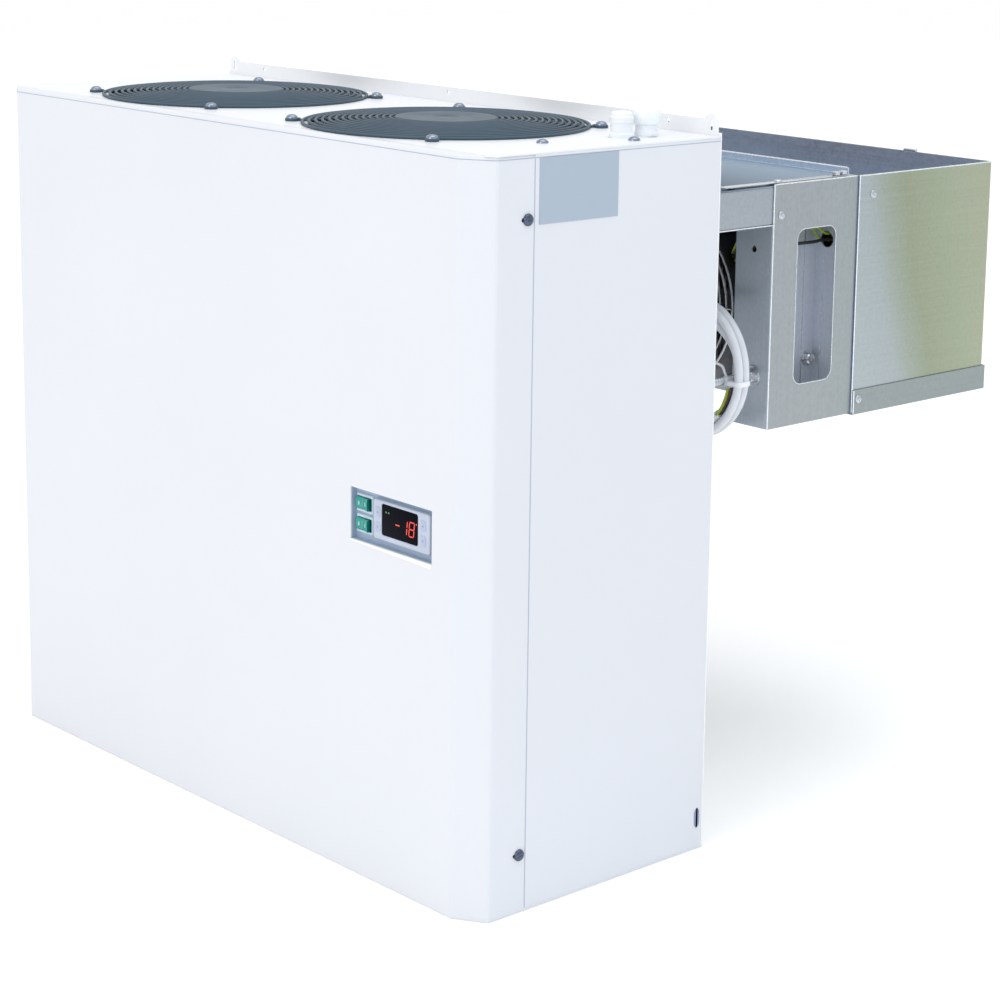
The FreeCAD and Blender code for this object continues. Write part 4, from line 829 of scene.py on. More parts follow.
@dataclass
class Studio:
    """Camera at the photograph's angle, soft lights and a pale floor."""

    yaw: float = 0.8085
    pitch: float = 0.1894
    roll: float = -0.0202
    place: Point = (1863.6, -1434.3, 884.6)
    lens: float = 90.59
    shift: Point = (-0.10, -0.16)
    sensor: float = 36.0
    clip: Point = (0.05, 60.0)
    lit_point: Point = (0.0, 0.15, 0.4)
    top_point: Point = (0.6, 0.2, 0.0)
    warm: Colour = (1.0, 0.965, 0.945)
    floor_half: float = 9.0
    floor_sink: float = 0.0004
    sky: Colour = (0.995, 0.997, 1.0)
    sky_right: Colour = (0.84, 0.915, 1.0)

    def camera(self) -> None:
        """Place the camera: yaw about Z, then pitch and roll in its own axes."""
        data = bpy.data.cameras.new("camera")
        data.sensor_width, data.lens = self.sensor, self.lens
        data.shift_x, data.shift_y = self.shift
        data.clip_start, data.clip_end = self.clip
        turn = (Matrix.Rotation(self.yaw, 4, "Z") @ Matrix.Rotation(math.pi / 2 - self.pitch, 4, "X")
                @ Matrix.Rotation(-self.roll, 4, "Z"))
        camera = linked("camera", data)
        camera.matrix_world = Matrix.Translation(Vector(self.place) * MM) @ turn
        bpy.context.scene.camera = camera

    def light(self, name: str, at: Point, towards: Point, size: float, watts: float,
              colour: Colour = (1.0, 1.0, 1.0)) -> None:
        """One soft square light.

        Args:
            name: its name.
            at: its place in metres.
            towards: the point that it faces.
            size: side of its square.
            watts: its power.
            colour: its colour.
        """
        data = bpy.data.lights.new(name, "AREA")
        data.size, data.energy, data.color = size, watts, colour
        lamp = linked(name, data)
        lamp.location = at
        lamp.rotation_euler = (Vector(towards) - Vector(at)).to_track_quat("-Z", "Y").to_euler()

    def backdrop(self) -> None:
        """White sky that cools to the right."""
        world = bpy.data.worlds.new("studio")
        world.use_nodes = True
        tree = world.node_tree
        sky = tree.nodes["Background"]
        where, split, ramp = (tree.nodes.new("ShaderNode" + kind)
                              for kind in ("TexCoord", "SeparateXYZ", "ValToRGB"))
        tones = ((0.1, self.sky), (0.9, self.sky_right))
        for stop, (share, colour) in zip(ramp.color_ramp.elements, tones):
            stop.position, stop.color = share, (*colour, 1.0)
        tree.links.new(where.outputs["Generated"], split.inputs["Vector"])
        tree.links.new(split.outputs["X"], ramp.inputs["Fac"])
        tree.links.new(ramp.outputs["Color"], sky.inputs["Color"])
        sky.inputs["Strength"].default_value = 1.0
        bpy.context.scene.world = world

    def floor(self) -> None:
        """Square floor a hair under the unit's feet."""
        reach = (-self.floor_half, self.floor_half)
        outline = rectangle(reach, reach)
        corners = np.column_stack([outline, np.full(len(outline), -self.floor_sink)])
        mesh = bpy.data.meshes.new("floor")
        mesh.from_pydata(corners.tolist(), [], [(0, 1, 2, 3)])
        floor = linked("floor", mesh)
        coat(floor, FLOOR_PALE)

    def build(self) -> None:
        """Lights, sky, floor and view."""
        self.light("key", (0.9, -3.4, 1.9), self.lit_point, 2.0, 22.0, self.warm)
        self.light("right", (3.4, -0.4, 1.5), self.lit_point, 1.2, 1.5)
        self.light("top", (0.6, 0.2, 3.6), self.top_point, 3.0, 34.0)
        self.backdrop()
        self.floor()
        bpy.context.scene.view_settings.view_transform = "Standard"


# Supply cord


@dataclass
class SupplyCord:
    """Mains lead: out of its gland, down, and wound into a tied coil in the wall gap."""

    thick: float = 8.0
    gap: float = 0.2
    gland: Point = (204.5, 137.5, 538.0)
    relief: float = 27.0
    leave: float = 13.5
    run: float = 22.0
    coil_at: Point = (268.5, 424.0)
    coil_r: float = 64.0
    shift_parts: float = 0.12
    steps: int = 36
    turns: float = 3.38
    real_length: float = 1.43
    foot_rise: Point = (40.0, 14.0)
    core_r: float = 1.4
    core_run: float = 0.088
    core_lean: float = 1.2
    tie_z: float = 417.0
    hexagon_r: float = 11.0
    sleeve_r: Point = (5.5, 0.9)
    nut_top: float = 13.4

    def lead_in(self) -> np.ndarray:
        """Points from the gland to the coil: straight out, then down in even turns of heading.

        Returns:
            The points, one row each.
        """
        x, y, z = self.gland[0], self.gland[1] + self.leave, self.gland[2]
        heading = np.radians([0.0, 0.0, 30.0, 60.0])
        step = np.array([0.0, self.run, self.run, self.run])
        ys = y + np.cumsum(step * np.cos(heading))
        zs = z - np.cumsum(step * np.sin(heading))
        points = np.stack([np.full(4, x), ys, zs], axis=1)
        foot = np.array([[x, ys[-1], self.coil_at[1] + rise] for rise in self.foot_rise])
        return np.concatenate([points, foot])

    def strand(self, t: np.ndarray) -> np.ndarray:
        """Centreline of the coil for t turns: angle 180 + 360 t, radius and depth stepping by one strand.

        Each step is a smooth ramp s(q) = q q (3 - 2 q) just before the strand would meet the last one.

        Args:
            t: turns from the start.

        Returns:
            The points.
        """
        pitch = self.thick + self.gap
        w = self.shift_parts

        def ramp(end: float) -> np.ndarray:
            """Smooth step from 0 to 1 that is done when t reaches end."""
            q = np.clip((t - end + w) / w, 0, 1)
            return q * q * (3 - 2 * q)

        first, second, third = 0.91, 1.91 - w, 2.91 - 2 * w
        depth = pitch * (ramp(first) - ramp(third))
        radius = self.coil_r - pitch * ramp(second)
        a = np.pi + 2 * np.pi * t
        y = self.lead_in()[-1, 1] + depth
        return np.stack([self.coil_at[0] + radius * np.cos(a), y, self.coil_at[1] + radius * np.sin(a)], axis=1)

    def build(self) -> None:
        """Cord, gland, tie and bare cores."""
        t = np.linspace(0, self.turns, int(self.turns * self.steps) + 1)
        points = np.concatenate([self.lead_in(), self.strand(t)]) * MM
        curve = bpy.data.curves.new("supply_lead", "CURVE")
        curve.dimensions = "3D"
        curve.bevel_depth = self.thick / 2 * MM
        curve.bevel_resolution = 4
        curve.resolution_u = 6
        curve.use_fill_caps = True
        line = curve.splines.new("NURBS")
        line.points.add(len(points) - 1)
        line.points.foreach_set("co", np.concatenate([points, np.ones((len(points), 1))], axis=1).ravel())
        line.order_u = 3
        line.use_endpoint_u = True
        lead = linked("supply_lead", curve)
        settle(lead, CORD_SHEATH, CASING, ["supply_cord", "cord_ring"])
        pieces = [self.make_gland(), self.make_tie(), *self.make_cores()]

    def make_gland(self) -> bpy.types.Object:
        """Hexagonal gland body with its domed nut and tapered sleeve, on the cabinet's back.

        Returns:
            The gland.
        """
        body = slab(flat_circle(self.hexagon_r, 6), 0.0, 6.0, edge=0.8)
        wide, fall = self.sleeve_r
        sleeve = [(wide - fall * s, self.nut_top + (self.relief - self.nut_top) * s) for s in (0.3, 0.6, 0.9)]
        dome = turned_piece([(0, 4), (10.2, 4), (10.2, 7.5), (9.4, 10), (6.6, 13), (5.6, self.nut_top), *sleeve,
                             (4.15, self.relief), (0, self.relief)])
        shape = joined([body, dome]).turned("X", -90).moved(self.gland)
        return put("cord_gland_moulded", shape, BLACK_PLASTIC, stands_for=["cord_gland"])

    def make_tie(self) -> bpy.types.Object:
        """Nylon band round the strands, wound three times, with its head hooked over the clamp rod.

        Returns:
            The tie.
        """
        y = self.lead_in()[-1, 1]
        outer = self.coil_at[0] + self.coil_r + self.thick / 2
        inner = self.coil_at[0] + self.coil_r - 1.5 * self.thick - self.gap
        loop = rectangle((inner - 0.9, outer + 0.9), (y - 5.1, y + self.thick + 5.1), 5.2, 8)
        band = slab(loop, self.tie_z - 2.2, self.tie_z + 2.2, edge=0.5)
        head = slab(rectangle((inner - 9.0, inner - 0.9), (y - 1.0, y + 8.0), 2.0), self.tie_z - 4.0,
                    self.tie_z + 4.0, edge=0.9)
        tail = tube(route([(inner - 6, y + 3, self.tie_z + 3), (inner - 9, y, self.tie_z + 14),
                           (inner - 17, y - 4, self.tie_z + 17)], 5.0), 1.2, 8)
        return put("cord_tie_nylon", joined([band, head, tail]), TIE_NYLON, stands_for=["cord_tie"])

    def make_cores(self) -> list[bpy.types.Object]:
        """Three bare cores from the sheath's end up into the tie, side by side along the strand.

        Returns:
            The three cores.
        """
        made = []
        start = self.turns - 0.004
        for k, finish in enumerate((CORE_GREEN, CORE_BROWN, CORE_BLUE)):
            t = np.linspace(start, start + self.core_run, 14)
            path = self.strand(t)
            path[:, 1] += (k - 1) * (2 * self.core_r + 0.1)
            path[:, 0] -= np.linspace(0, 1, len(t)) * self.core_lean * (k != 1)
            made.append(put(f"bare_core_{k + 1}", tube(path, self.core_r, 10), finish,
                            stands_for=["cord_cores"]))
        return made


# Cabinet


@dataclass
class Cabinet:
    """White casing with its screws, cable caps and bare plate."""

    half_w: float = 365.0
    flat_half: float = 336.0
    front_y: float = -137.5
    bend_y: float = -119.5
    back_y: float = 136.0
    return_y: Point = (-80.0, -79.1)
    return_z: Point = (3.0, 645.0)
    line_drop: float = 4.0
    line_r: float = 0.32
    top_z: float = 650.0
    screw_r: float = 5.2
    screw_h: float = 3.4
    recess: float = 0.9
    shank_h: float = 4.8
    shank_share: float = 0.45
    fan_x: Point = (-159.0, 159.0)
    guard_pitch: float = 97.0
    guard_t: float = 2.6
    cap_at: tuple[Point, Point] = ((320.0, 60.0), (324.0, 86.0))
    slot_y: Point = (126.5, 133.0)
    slot_z: Point = (20.5, 39.0)
    return_screw_y: float = -86.6
    return_screw_z: Point = (52.0, 596.0)
    top_screws: tuple[Point, Point] = ((315.5, -27.0), (345.0, 51.0))

    def build(self, frame: Frame) -> None:
        """Sheets first, then what is fixed to them.

        Args:
            frame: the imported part.
        """
        for node in ("front_panel", "side_panel_right", "side_panel_left", "base_tray"):
            frame.folded(node, WHITE_PAINT)
        # The rear and top sheets take lighter copies of the white paint: painted light.
        frame.folded("rear_panel", REAR_PAINT_PAINTED_LIGHT)
        frame.folded("top_panel", TOP_PAINT_PAINTED_LIGHT)
        frame.folded("partition_panel", INNER_SHEET)
        frame.folded("rating_plate", PLATE_GREY, 0.15)
        self.caps()
        self.screws()
        self.seams()

    def seams(self) -> None:
        """Painted shade: dark strips in the side seams and along the line under the top sheet, and a grey patch
        for the dark inside of a small slot in the side.
        """
        w, z = self.half_w, self.top_z - self.line_drop
        left = [(-w, self.back_y, z), (-w, self.bend_y, z), (-self.flat_half, self.front_y, z)]
        line = left + [(-x, y, z) for x, y, z in left[::-1]]
        seam = slab(rectangle(self.return_y, self.return_z), -0.05, 0.12, "X")
        shapes = [tube(route(line, 6.0, 5), self.line_r, 8, side=(0, 0, 1))]
        shapes += [seam.moved((side * w, 0, 0)) for side in (-1, 1)]
        # The slot is a flat grey patch: painted shade for the dark inside of the opening.
        slot = slab(rectangle(self.slot_y, self.slot_z, 4.4, 9), w - 0.1, w + 0.3, "X", 0.15)
        put("panel_seams", joined(shapes), SEAM_SHADE)
        put("side_slot_painted_shade", slot, MARK_AND_SHADE_GREY)

    def screw_head(self) -> Shape:
        """Round head with a cross recess: height r-dome minus a cross-shaped dip.

        Returns:
            One screw, its head standing up along Z.
        """
        u = np.linspace(0, 1, 10)
        a = round_angles(48)[:, None]
        r = self.screw_r * np.sin(u * np.pi / 2)
        h = self.screw_h * np.cos(u * np.pi / 2) ** 0.8
        arm = np.clip(1.2 - np.abs(r * np.sin(2 * a)) * 0.9, 0, 1) * np.clip(2.6 - r, 0, 1)
        top = np.stack([r * np.cos(a), r * np.sin(a), h - self.recess * arm], axis=-1)
        foot = top[:, -1:, :] * np.array([1, 1, 0.0])
        base = foot * np.array([self.shank_share, self.shank_share, 1])
        shank = base - np.array([0, 0, self.shank_h])
        tip = shank * np.array([0, 0, 1])
        return lattice(np.concatenate([top, foot, base, shank, tip], axis=1), wrap_rows=True)

    def screws(self) -> None:
        """Screws of the front's returns and of the guards, and the two on the top sheet."""
        head = self.screw_head()
        sunk = [head.turned("Y", 90 * side).moved((side * self.half_w, self.return_screw_y, z))
                for side in (-1, 1) for z in self.return_screw_z]
        # The side screws take the darker copy of the screw steel: painted shade.
        put("return_screw_heads", joined(sunk), SCREW_STEEL_PAINTED_SHADE, stands_for=["casing_screws"])
        shapes = [head.moved((x + sx * self.guard_pitch, sy * self.guard_pitch, self.top_z + self.guard_t))
                  for x in self.fan_x for sx in (-1, 1) for sy in (-1, 1)]
        shapes += [head.moved((*at, self.top_z)) for at in self.top_screws]
        put("casing_screw_heads", joined(shapes), SCREW_STEEL, stands_for=["casing_screws"])

    def caps(self) -> None:
        """Two white caps on the top: a straight one, and one with a wider head."""
        plain = [(0, -6), (5.8, -6), (5.8, 0), (11.0, 0), (11.0, 3.2), (10.4, 4.0), (9.6, 4.3), (9.5, 12.0),
                 (10.3, 12.8), (10.4, 17.5), (9.4, 18.4), (9.2, 20.4), (7.8, 22.0), (0, 22.6)]
        wide = [(0, -6), (5.8, -6), (5.8, 0), (10.8, 0), (10.8, 3.6), (9.8, 4.4), (9.6, 9.5), (11.6, 10.6),
                (12.2, 12.0), (12.2, 20.5), (11.2, 22.8), (8.6, 24.0), (0, 24.4)]
        shapes = [turned_piece(profile, 56).moved((*at, self.top_z))
                  for profile, at in zip((plain, wide), self.cap_at)]
        put("cable_cap_mouldings", joined(shapes), CAP_WHITE, stands_for=["cable_caps"])


# Fans


def blade_surface(root: float, tip: float, chord: Point, pitch: Point, sweep: float, thick: float) -> Shape:
    """Twisted fan blade as a closed sheet.

    At radius r the section is a chord of u from -1/2 to 1/2, raised by a camber of 0.1 (1 - 4 u u),
    turned by the pitch at r and led forward by sweep t t. A rim of half a thickness rounds its edges.

    Args:
        root: inner radius.
        tip: outer radius.
        chord: chord at root and tip.
        pitch: pitch in degrees at root and tip.
        sweep: lead of the tip.
        thick: thickness.

    Returns:
        The blade, its span along X and the axis along Z.
    """
    t = np.linspace(0, 1, 18)[:, None]
    v = round_angles(28)[None, :]
    u = 0.5 * np.cos(v)
    side = np.sign(np.sin(v)) * np.abs(np.sin(v)) ** 0.35 * thick / 2
    width = chord[0] + t * (chord[1] - chord[0])
    round_off = np.sqrt(np.clip(1 - np.clip((t - 0.86) / 0.16, 0, 1) ** 2, 0.05, 1))
    width = width * round_off
    turn = np.radians(pitch[0] + np.sqrt(t) * (pitch[1] - pitch[0]))
    along = u * width
    up = 0.1 * width * (1 - 4 * u * u) + side
    r = root + t * (tip - root) + 0 * u
    lead = sweep * t * t
    y = lead + along * np.cos(turn) - up * np.sin(turn)
    z = along * np.sin(turn) + up * np.cos(turn)
    return lattice(np.stack([r, y + 0 * r, z + 0 * r], axis=-1), wrap_columns=True, capped=True)


@dataclass
class CondenserFans:
    """Two axial fans in the cabinet's top, each hung from its finger guard."""

    centres: Point = (-159.0, 159.0)
    rim: float = 127.0
    plate_r: float = 46.0
    rings: int = 14
    wire: float = 1.4
    rise: float = 4.5
    seat_z: float = 651.4
    reach: float = 137.2
    leg: float = 1.5
    foot_z: float = 650.0
    hub_r: float = 46.0
    hub_h: float = 34.0
    hub_top: float = 641.1
    tip: float = 109.0
    bore: float = 4.1
    blades: int = 5

    def height(self, r: np.ndarray | float) -> np.ndarray | float:
        """Height of the guard's wires: flat in the middle and steep at the rim."""
        return self.seat_z + self.rise * (1 - (np.asarray(r) / self.rim) ** 4)

    def guard(self) -> Shape:
        """Rings, four legs with flattened feet, cross wires and the middle plate.

        Returns:
            One guard about the Z axis.
        """
        radii = np.linspace(self.rim, self.plate_r + 4, self.rings)
        shapes = [tube(circle(r, float(self.height(r)), 72), self.wire, 8, closed=True, side=(0, 0, 1))
                  for r in radii]
        run = np.linspace(self.plate_r - 2, self.rim, 14)
        zs = self.height(run) - 1.6
        leg = np.stack([run, 0 * run, zs], axis=1)
        end = np.array([(self.rim + 4, 0, 651.8), (self.reach - 4, 0, 651.5)])
        for k in range(4):
            wire = tube(np.concatenate([leg, end]), self.leg, 8, side=(0, 1, 0))
            foot = turned_piece([(2.1, 0), (5.8, 0), (6.2, 0.6), (6.2, 2.0), (5.8, 2.6), (2.1, 2.6),
                                 (2.1, 0)], 24).moved((self.reach, 0, self.foot_z))
            shapes += [wire.turned("Z", 45 + 90 * k), foot.turned("Z", 45 + 90 * k)]
        top = float(self.height(0)) + 1.3
        shapes.append(turned_piece([(0, top - 2.6), (self.plate_r - 1, top - 2.6), (self.plate_r, top - 2.0),
                                    (self.plate_r, top - 0.8), (self.plate_r - 1, top), (12, top),
                                    (10, top - 0.7), (0, top - 0.7)]))
        return joined(shapes)

    def rotor(self) -> Shape:
        """Can with a rounded lower rim, bored for its shaft, and five blades.

        Returns:
            One rotor about the Z axis.
        """
        h, r = self.hub_h, self.hub_r
        can = turned_piece([(self.bore, 7), (self.bore, h), (r - 1.5, h), (r, h - 1.5), (r, 3), (r - 1, 1),
                            (r - 3, 0), (12, 0), (10, 1.2), (0, 1.2), (0, 7), (self.bore, 7)], 72)
        one = blade_surface(r - 4, self.tip, (54.0, 82.0), (36.0, 20.0), 14.0, 2.0)
        one = one.moved((0, 0, h / 2))
        return joined([can] + [one.turned("Z", 360.0 / self.blades * k) for k in range(self.blades)])

    def build(self) -> None:
        """Guard, stator and rotor of each fan."""
        guard, rotor = self.guard(), self.rotor()
        stator = turned_piece([(0, 642.1), (41.5, 642.1), (43, 643.4), (43, 653.2), (41.5, 654.4),
                               (0, 654.4)], 56)
        shaft = turned_piece([(0, 615.5), (3.6, 615.5), (4.0, 616.0), (4.0, 645.0), (0, 645.0)], 24)
        for i, x in enumerate(self.centres, start=1):
            put(f"guard_wires_{i}", guard.moved((x, 0, 0)), GUARD_PAINT, stands_for=[f"condenser_guard_{i}"])
            put(f"fan_stator_{i}", joined([stator, shaft]).moved((x, 0, 0)), STEEL,
                stands_for=[f"condenser_motor_{i}"])
            put(f"fan_rotor_{i}", rotor.moved((x, 0, self.hub_top - self.hub_h)), BLACK_PAINT,
                body=f"condenser_fan_{i}_body", stands_for=[f"condenser_fan_{i}"])


@dataclass
class EvaporatorFans:
    """Two fans that blow through the evaporator's coil, in round frames with wire guards."""

    z: float = 464.0
    x: float = 155.0
    face_y: float = 339.0
    depth: float = 50.0
    inner: float = 85.0
    wall: float = 3.5
    hub_r: float = 30.0
    tip: float = 79.0
    rings: int = 8
    bore: float = 4.1
    blades: int = 5
    rotor_off: float = 15.0

    def frame_shape(self) -> Shape:
        """Flared duct with a lip at each end, four struts and the motor cup, about Z from 0 to depth.

        Returns:
            One frame.
        """
        i, w, d = self.inner, self.wall, self.depth
        duct = turned_piece([(i, 1.2), (i + 0.8, 0), (i + w - 0.6, 0), (i + w, 1), (i + w, 8), (i + w - 1, 9),
                             (i + w - 1, d - 9), (i + w, d - 8), (i + w, d), (i + 0.6, d), (i, d - 1.2),
                             (i, 1.2)], 88)
        cup = turned_piece([(0, 0), (self.hub_r - 2, 0), (self.hub_r, 1.6), (self.hub_r, 13),
                            (self.hub_r - 1, 14), (0, 14)], 48)
        shaft = turned_piece([(0, 13), (4.0, 13), (4.0, 36.4), (3.6, 37), (0, 37)], 24)
        strut = slab(rectangle((self.hub_r - 3, i + 1), (-4, 4)), 0.2, 4.0, edge=0.6)
        parts = [duct, cup, shaft] + [strut.turned("Z", 45 + 90 * k) for k in range(4)]
        for side in (-1, 1):
            u = sorted((side * (i + 1), side * (i + w + 10)))
            parts.append(slab(rectangle(u, (-15, 15), 4.0), d - 4, d, edge=0.4))
        return joined(parts)

    def guard_shape(self) -> Shape:
        """Concentric wires over four radial ones, with a plate in the middle.

        Returns:
            One guard about the Z axis.
        """
        radii = np.linspace(self.inner + self.wall - 1.4, self.hub_r, self.rings)
        parts = [tube(circle(r, -1.1, 64), 1.0, 8, closed=True, side=(0, 0, 1)) for r in radii]
        run = np.linspace(self.hub_r - 8, self.inner + self.wall - 1, 5)
        wire = tube(np.stack([run, 0 * run, -2.8 + 0 * run], axis=1), 0.8, 8, side=(0, 0, 1))
        parts += [wire.turned("Z", 90 * k) for k in range(4)]
        parts.append(turned_piece([(0, -3.5), (24, -3.5), (25, -3.0), (25, -2.2), (24, -1.9), (0, -1.9)], 40))
        return joined(parts)

    def rotor_shape(self) -> Shape:
        """Hub from 0 to 26 along Z with five blades, bored from its lower end.

        Returns:
            One rotor about the Z axis.
        """
        r = self.hub_r
        hub = turned_piece([(self.bore, 0), (r - 1, 0), (r, 1), (r, 22), (r - 1.5, 25), (r - 4, 26), (0, 26),
                            (0, 22.5), (self.bore, 22.5), (self.bore, 0)], 56)
        one = blade_surface(r - 3, self.tip, (30.0, 50.0), (38.0, 23.0), 9.0, 1.8).moved((0, 0, 13))
        return joined([hub] + [one.turned("Z", 360.0 / self.blades * k) for k in range(self.blades)])

    def build(self) -> None:
        """Frame, guard and rotor of each fan, turned so that Z points along +Y."""
        y0 = self.face_y - self.depth
        for i, x in enumerate((-self.x, self.x), start=1):
            def stand(shape: Shape, y: float, at: float = x) -> Shape:
                """A shape drawn along Z, turned to +Y and set at the fan's middle."""
                return shape.turned("X", -90).moved((at, y, self.z))

            put(f"fan_frame_{i}", stand(self.frame_shape(), y0), BLACK_PLASTIC,
                stands_for=[f"evap_fan_frame_{i}"])
            put(f"fan_wires_{i}", stand(self.guard_shape(), y0), ZINC, stands_for=[f"evap_guard_{i}"])
            put(f"evap_rotor_{i}", stand(self.rotor_shape(), y0 + self.rotor_off), BLACK_PLASTIC,
                body=f"evap_fan_rotor_{i}_body", stands_for=[f"evap_fan_rotor_{i}"])


# Controls


@dataclass
class ControlPanel:
    """Recessed panel with two rocker switches and a digital controller."""

    recess_y: float = -131.0
    facia_x: Point = (227.5, 303.0)
    facia_z: Point = (310.0, 345.0)
    facia_t: float = 4.6
    corner_r: float = 2.4
    pocket_gap: float = 0.9
    pane_gap: float = 0.85
    reading: str = "-18"
    digits_at: Point = (256.0, 321.0)
    digit_step: float = 9.4
    digit_h: float = 12.5
    digit_w: float = 6.4
    bar_t: float = 1.05
    bar_gap: float = 0.75
    lean: float = 0.1
    degree_at: Point = (284.8, 333.0)
    lamp_x: Point = (244.5, 248.0)
    lamp_z: float = 335.5
    lip_highlight_y: Point = (-137.9, -137.4)
    switch_t: float = 2.0
    well: Point = (10.1, 5.6)
    throat: Point = (8.6, 5.4)
    shaft: Point = (9.0, 6.0)
    rocker_half: Point = (9.1, 5.2)
    rocker_off: float = 0.7
    rise: float = 3.2
    dip: float = 1.4
    rest_tilt: float = -7.0

    def facia(self) -> None:
        """Facia with rounded edges round a window pocket, and its module."""
        body = span("controller_housing")
        glass = span("controller_window")
        face = self.recess_y - self.facia_t

        def window(gap: float, radius: float, steps: int) -> np.ndarray:
            """Outline of the glass, grown by a gap."""
            return rectangle((glass[0, 0] - gap, glass[1, 0] + gap), (glass[0, 2] - gap, glass[1, 2] + gap),
                             radius, steps)

        outer = rectangle(self.facia_x, self.facia_z, self.corner_r, 9)
        inner = window(self.pocket_gap, self.corner_r, 9)
        rows = [upright(grown(outer, by), y)
                for by, y in ((0.0, self.recess_y), (0.0, face + 1.2), (-0.3, face + 0.4), (-0.9, face))]
        rows += [upright(grown(inner, by), y)
                 for by, y in ((0.6, face), (0.1, face + 0.3), (0.0, face + 1.0), (0.0, self.recess_y))]
        frame = lattice(np.stack(rows + rows[:1]), wrap_columns=True)
        module = slab(rectangle((body[0, 0] + 3, body[1, 0] - 3), (body[0, 2] + 3.5, body[1, 2] - 3.5)),
                      self.recess_y - 3.0, body[1, 1], "Y", 0.6)
        put("controller_facia", joined([frame, module]), FACIA_PLASTIC, stands_for=["controller_housing"],
            smooth=math.radians(25))
        pane = slab(window(self.pane_gap, 2.3, 7), face + 0.6, face + 2.0, "Y", 0.15)
        put("display_pane", pane, WINDOW_PLASTIC, stands_for=["controller_window"])

    def segments(self) -> None:
        """Lit reading, each mark a choice of seven bars on a leaning cell, the lamps and a painted highlight on
        the cut-out's lower lip.
        """
        w, h, t = self.digit_w, self.digit_h, self.bar_t
        bars = {"a": (0, h, w, h), "b": (w, h / 2, w, h), "c": (w, 0, w, h / 2), "d": (0, 0, w, 0),
                "e": (0, 0, 0, h / 2), "f": (0, h / 2, 0, h), "g": (0, h / 2, w, h / 2)}
        lit = {"-": "g", "1": "bc", "8": "abcdefg"}
        y = self.recess_y - self.facia_t + 0.5
        shapes = []
        for k, mark in enumerate(self.reading):
            at = np.array(self.digits_at) + np.array([self.digit_step * k, 0.0])
            for bar in lit[mark]:
                x0, z0, x1, z1 = bars[bar]
                run = np.array([x1 - x0, z1 - z0])
                run = run / np.linalg.norm(run)
                cross = np.array([-run[1], run[0]]) * t / 2
                a, b = np.array([x0, z0]) + run * self.bar_gap, np.array([x1, z1]) - run * self.bar_gap
                tip = run * t / 2
                outline = np.array([a - tip, a - cross, b - cross, b + tip, b + cross, a + cross])
                outline[:, 0] += outline[:, 1] * self.lean
                shapes.append(slab(outline + at, y, y + 0.4, "Y"))
        shapes.append(slab(flat_circle(0.75, 20, self.degree_at), y, y + 0.4, "Y"))
        put("lit_segments", joined(shapes), RED_GLOW)
        # A pale wedge under the cut-out: painted highlight on its lower lip.
        wedge = np.array([(199.0, 302.6), (308.4, 299.4), (308.4, 303.9), (199.0, 303.9)])
        put("cut_out_painted_highlight", slab(wedge, *self.lip_highlight_y, "Y", 0.2), LIP_PAINTED_HIGHLIGHT)
        lamps = [slab(flat_circle(0.85, 16, (x, self.lamp_z)), y, y + 0.4, "Y") for x in self.lamp_x]
        put("lit_lamps", joined(lamps), GREEN_GLOW)

    def keys(self) -> None:
        """Four domed keys, each with a small printed mark."""
        for i in range(1, 5):
            low, high = span(f"controller_key_{i}")
            x, _, z = middle(f"controller_key_{i}")
            outline = rectangle((low[0], high[0]), (low[2], high[2]), 1.6, 7)
            key = slab(outline, low[1], high[1], "Y", 0.45)
            body = f"controller_key_{i}_body"
            put(f"key_cap_{i}", key, KEY_PLASTIC, body=body, stands_for=[f"controller_key_{i}"])
            mark = np.array([(0, 1.3), (-1.2, -0.9), (1.2, -0.9)]) * (1 if i % 2 else -1) + np.array([x, z])
            put(f"key_mark_{i}", slab(mark, low[1] - 0.06, low[1] + 0.1, "Y"), MARK_AND_SHADE_GREY, body=body)

    def switches(self) -> None:
        """Switch flanges, and rockers with two hollow facets carrying 0 and I."""
        for i in (1, 2):
            low, high = span(f"switch_body_{i}")
            x, _, z = middle(f"switch_body_{i}")
            half = (high - low)[[0, 2]] / 2
            back, face = self.recess_y, self.recess_y - self.switch_t

            def ring(size: Point, y: float, at: Point = (x, z)) -> np.ndarray:
                """Rectangle of two half sizes round the switch's middle, at one depth."""
                return upright(rectangle((-size[0], size[0]), (-size[1], size[1]), 1.3, 7) + np.array(at), y)

            rows = [ring(half, back), ring(half, face + 0.5), ring(half - 0.2, face + 0.2),
                    ring(self.well, face + 0.2), ring(self.well, back - 0.3), ring(self.throat, back - 0.1),
                    ring(self.throat, back + 14), ring(self.shaft, back + 14), ring(self.shaft, back)]
            shell = lattice(np.stack(rows), wrap_rows=True, wrap_columns=True)
            floor = slab(rectangle((x - 8.8, x + 8.8), (z - 5.7, z + 5.7)), back + 9, back + 13.5, "Y")
            put(f"switch_shell_{i}", joined([shell, floor]), SWITCH_BLACK, stands_for=[f"switch_body_{i}"],
                smooth=math.radians(20))
            rows = [ring(half + 0.7, back), ring(half + 0.7, face + 0.9), ring(half + 0.3, face + 0.1),
                    ring(half - 0.4, face - 0.3), ring((10.5, 6.3), face - 0.3), ring((10.15, 5.7), face + 0.1),
                    ring((10.15, 5.7), face + 0.6), ring(half + 0.1, face + 0.6), ring(half + 0.1, back)]
            put(f"switch_cover_{i}", lattice(np.stack(rows), wrap_rows=True, wrap_columns=True), SWITCH_COVER,
                smooth=math.radians(50))
            self.rocker(i, x, z)

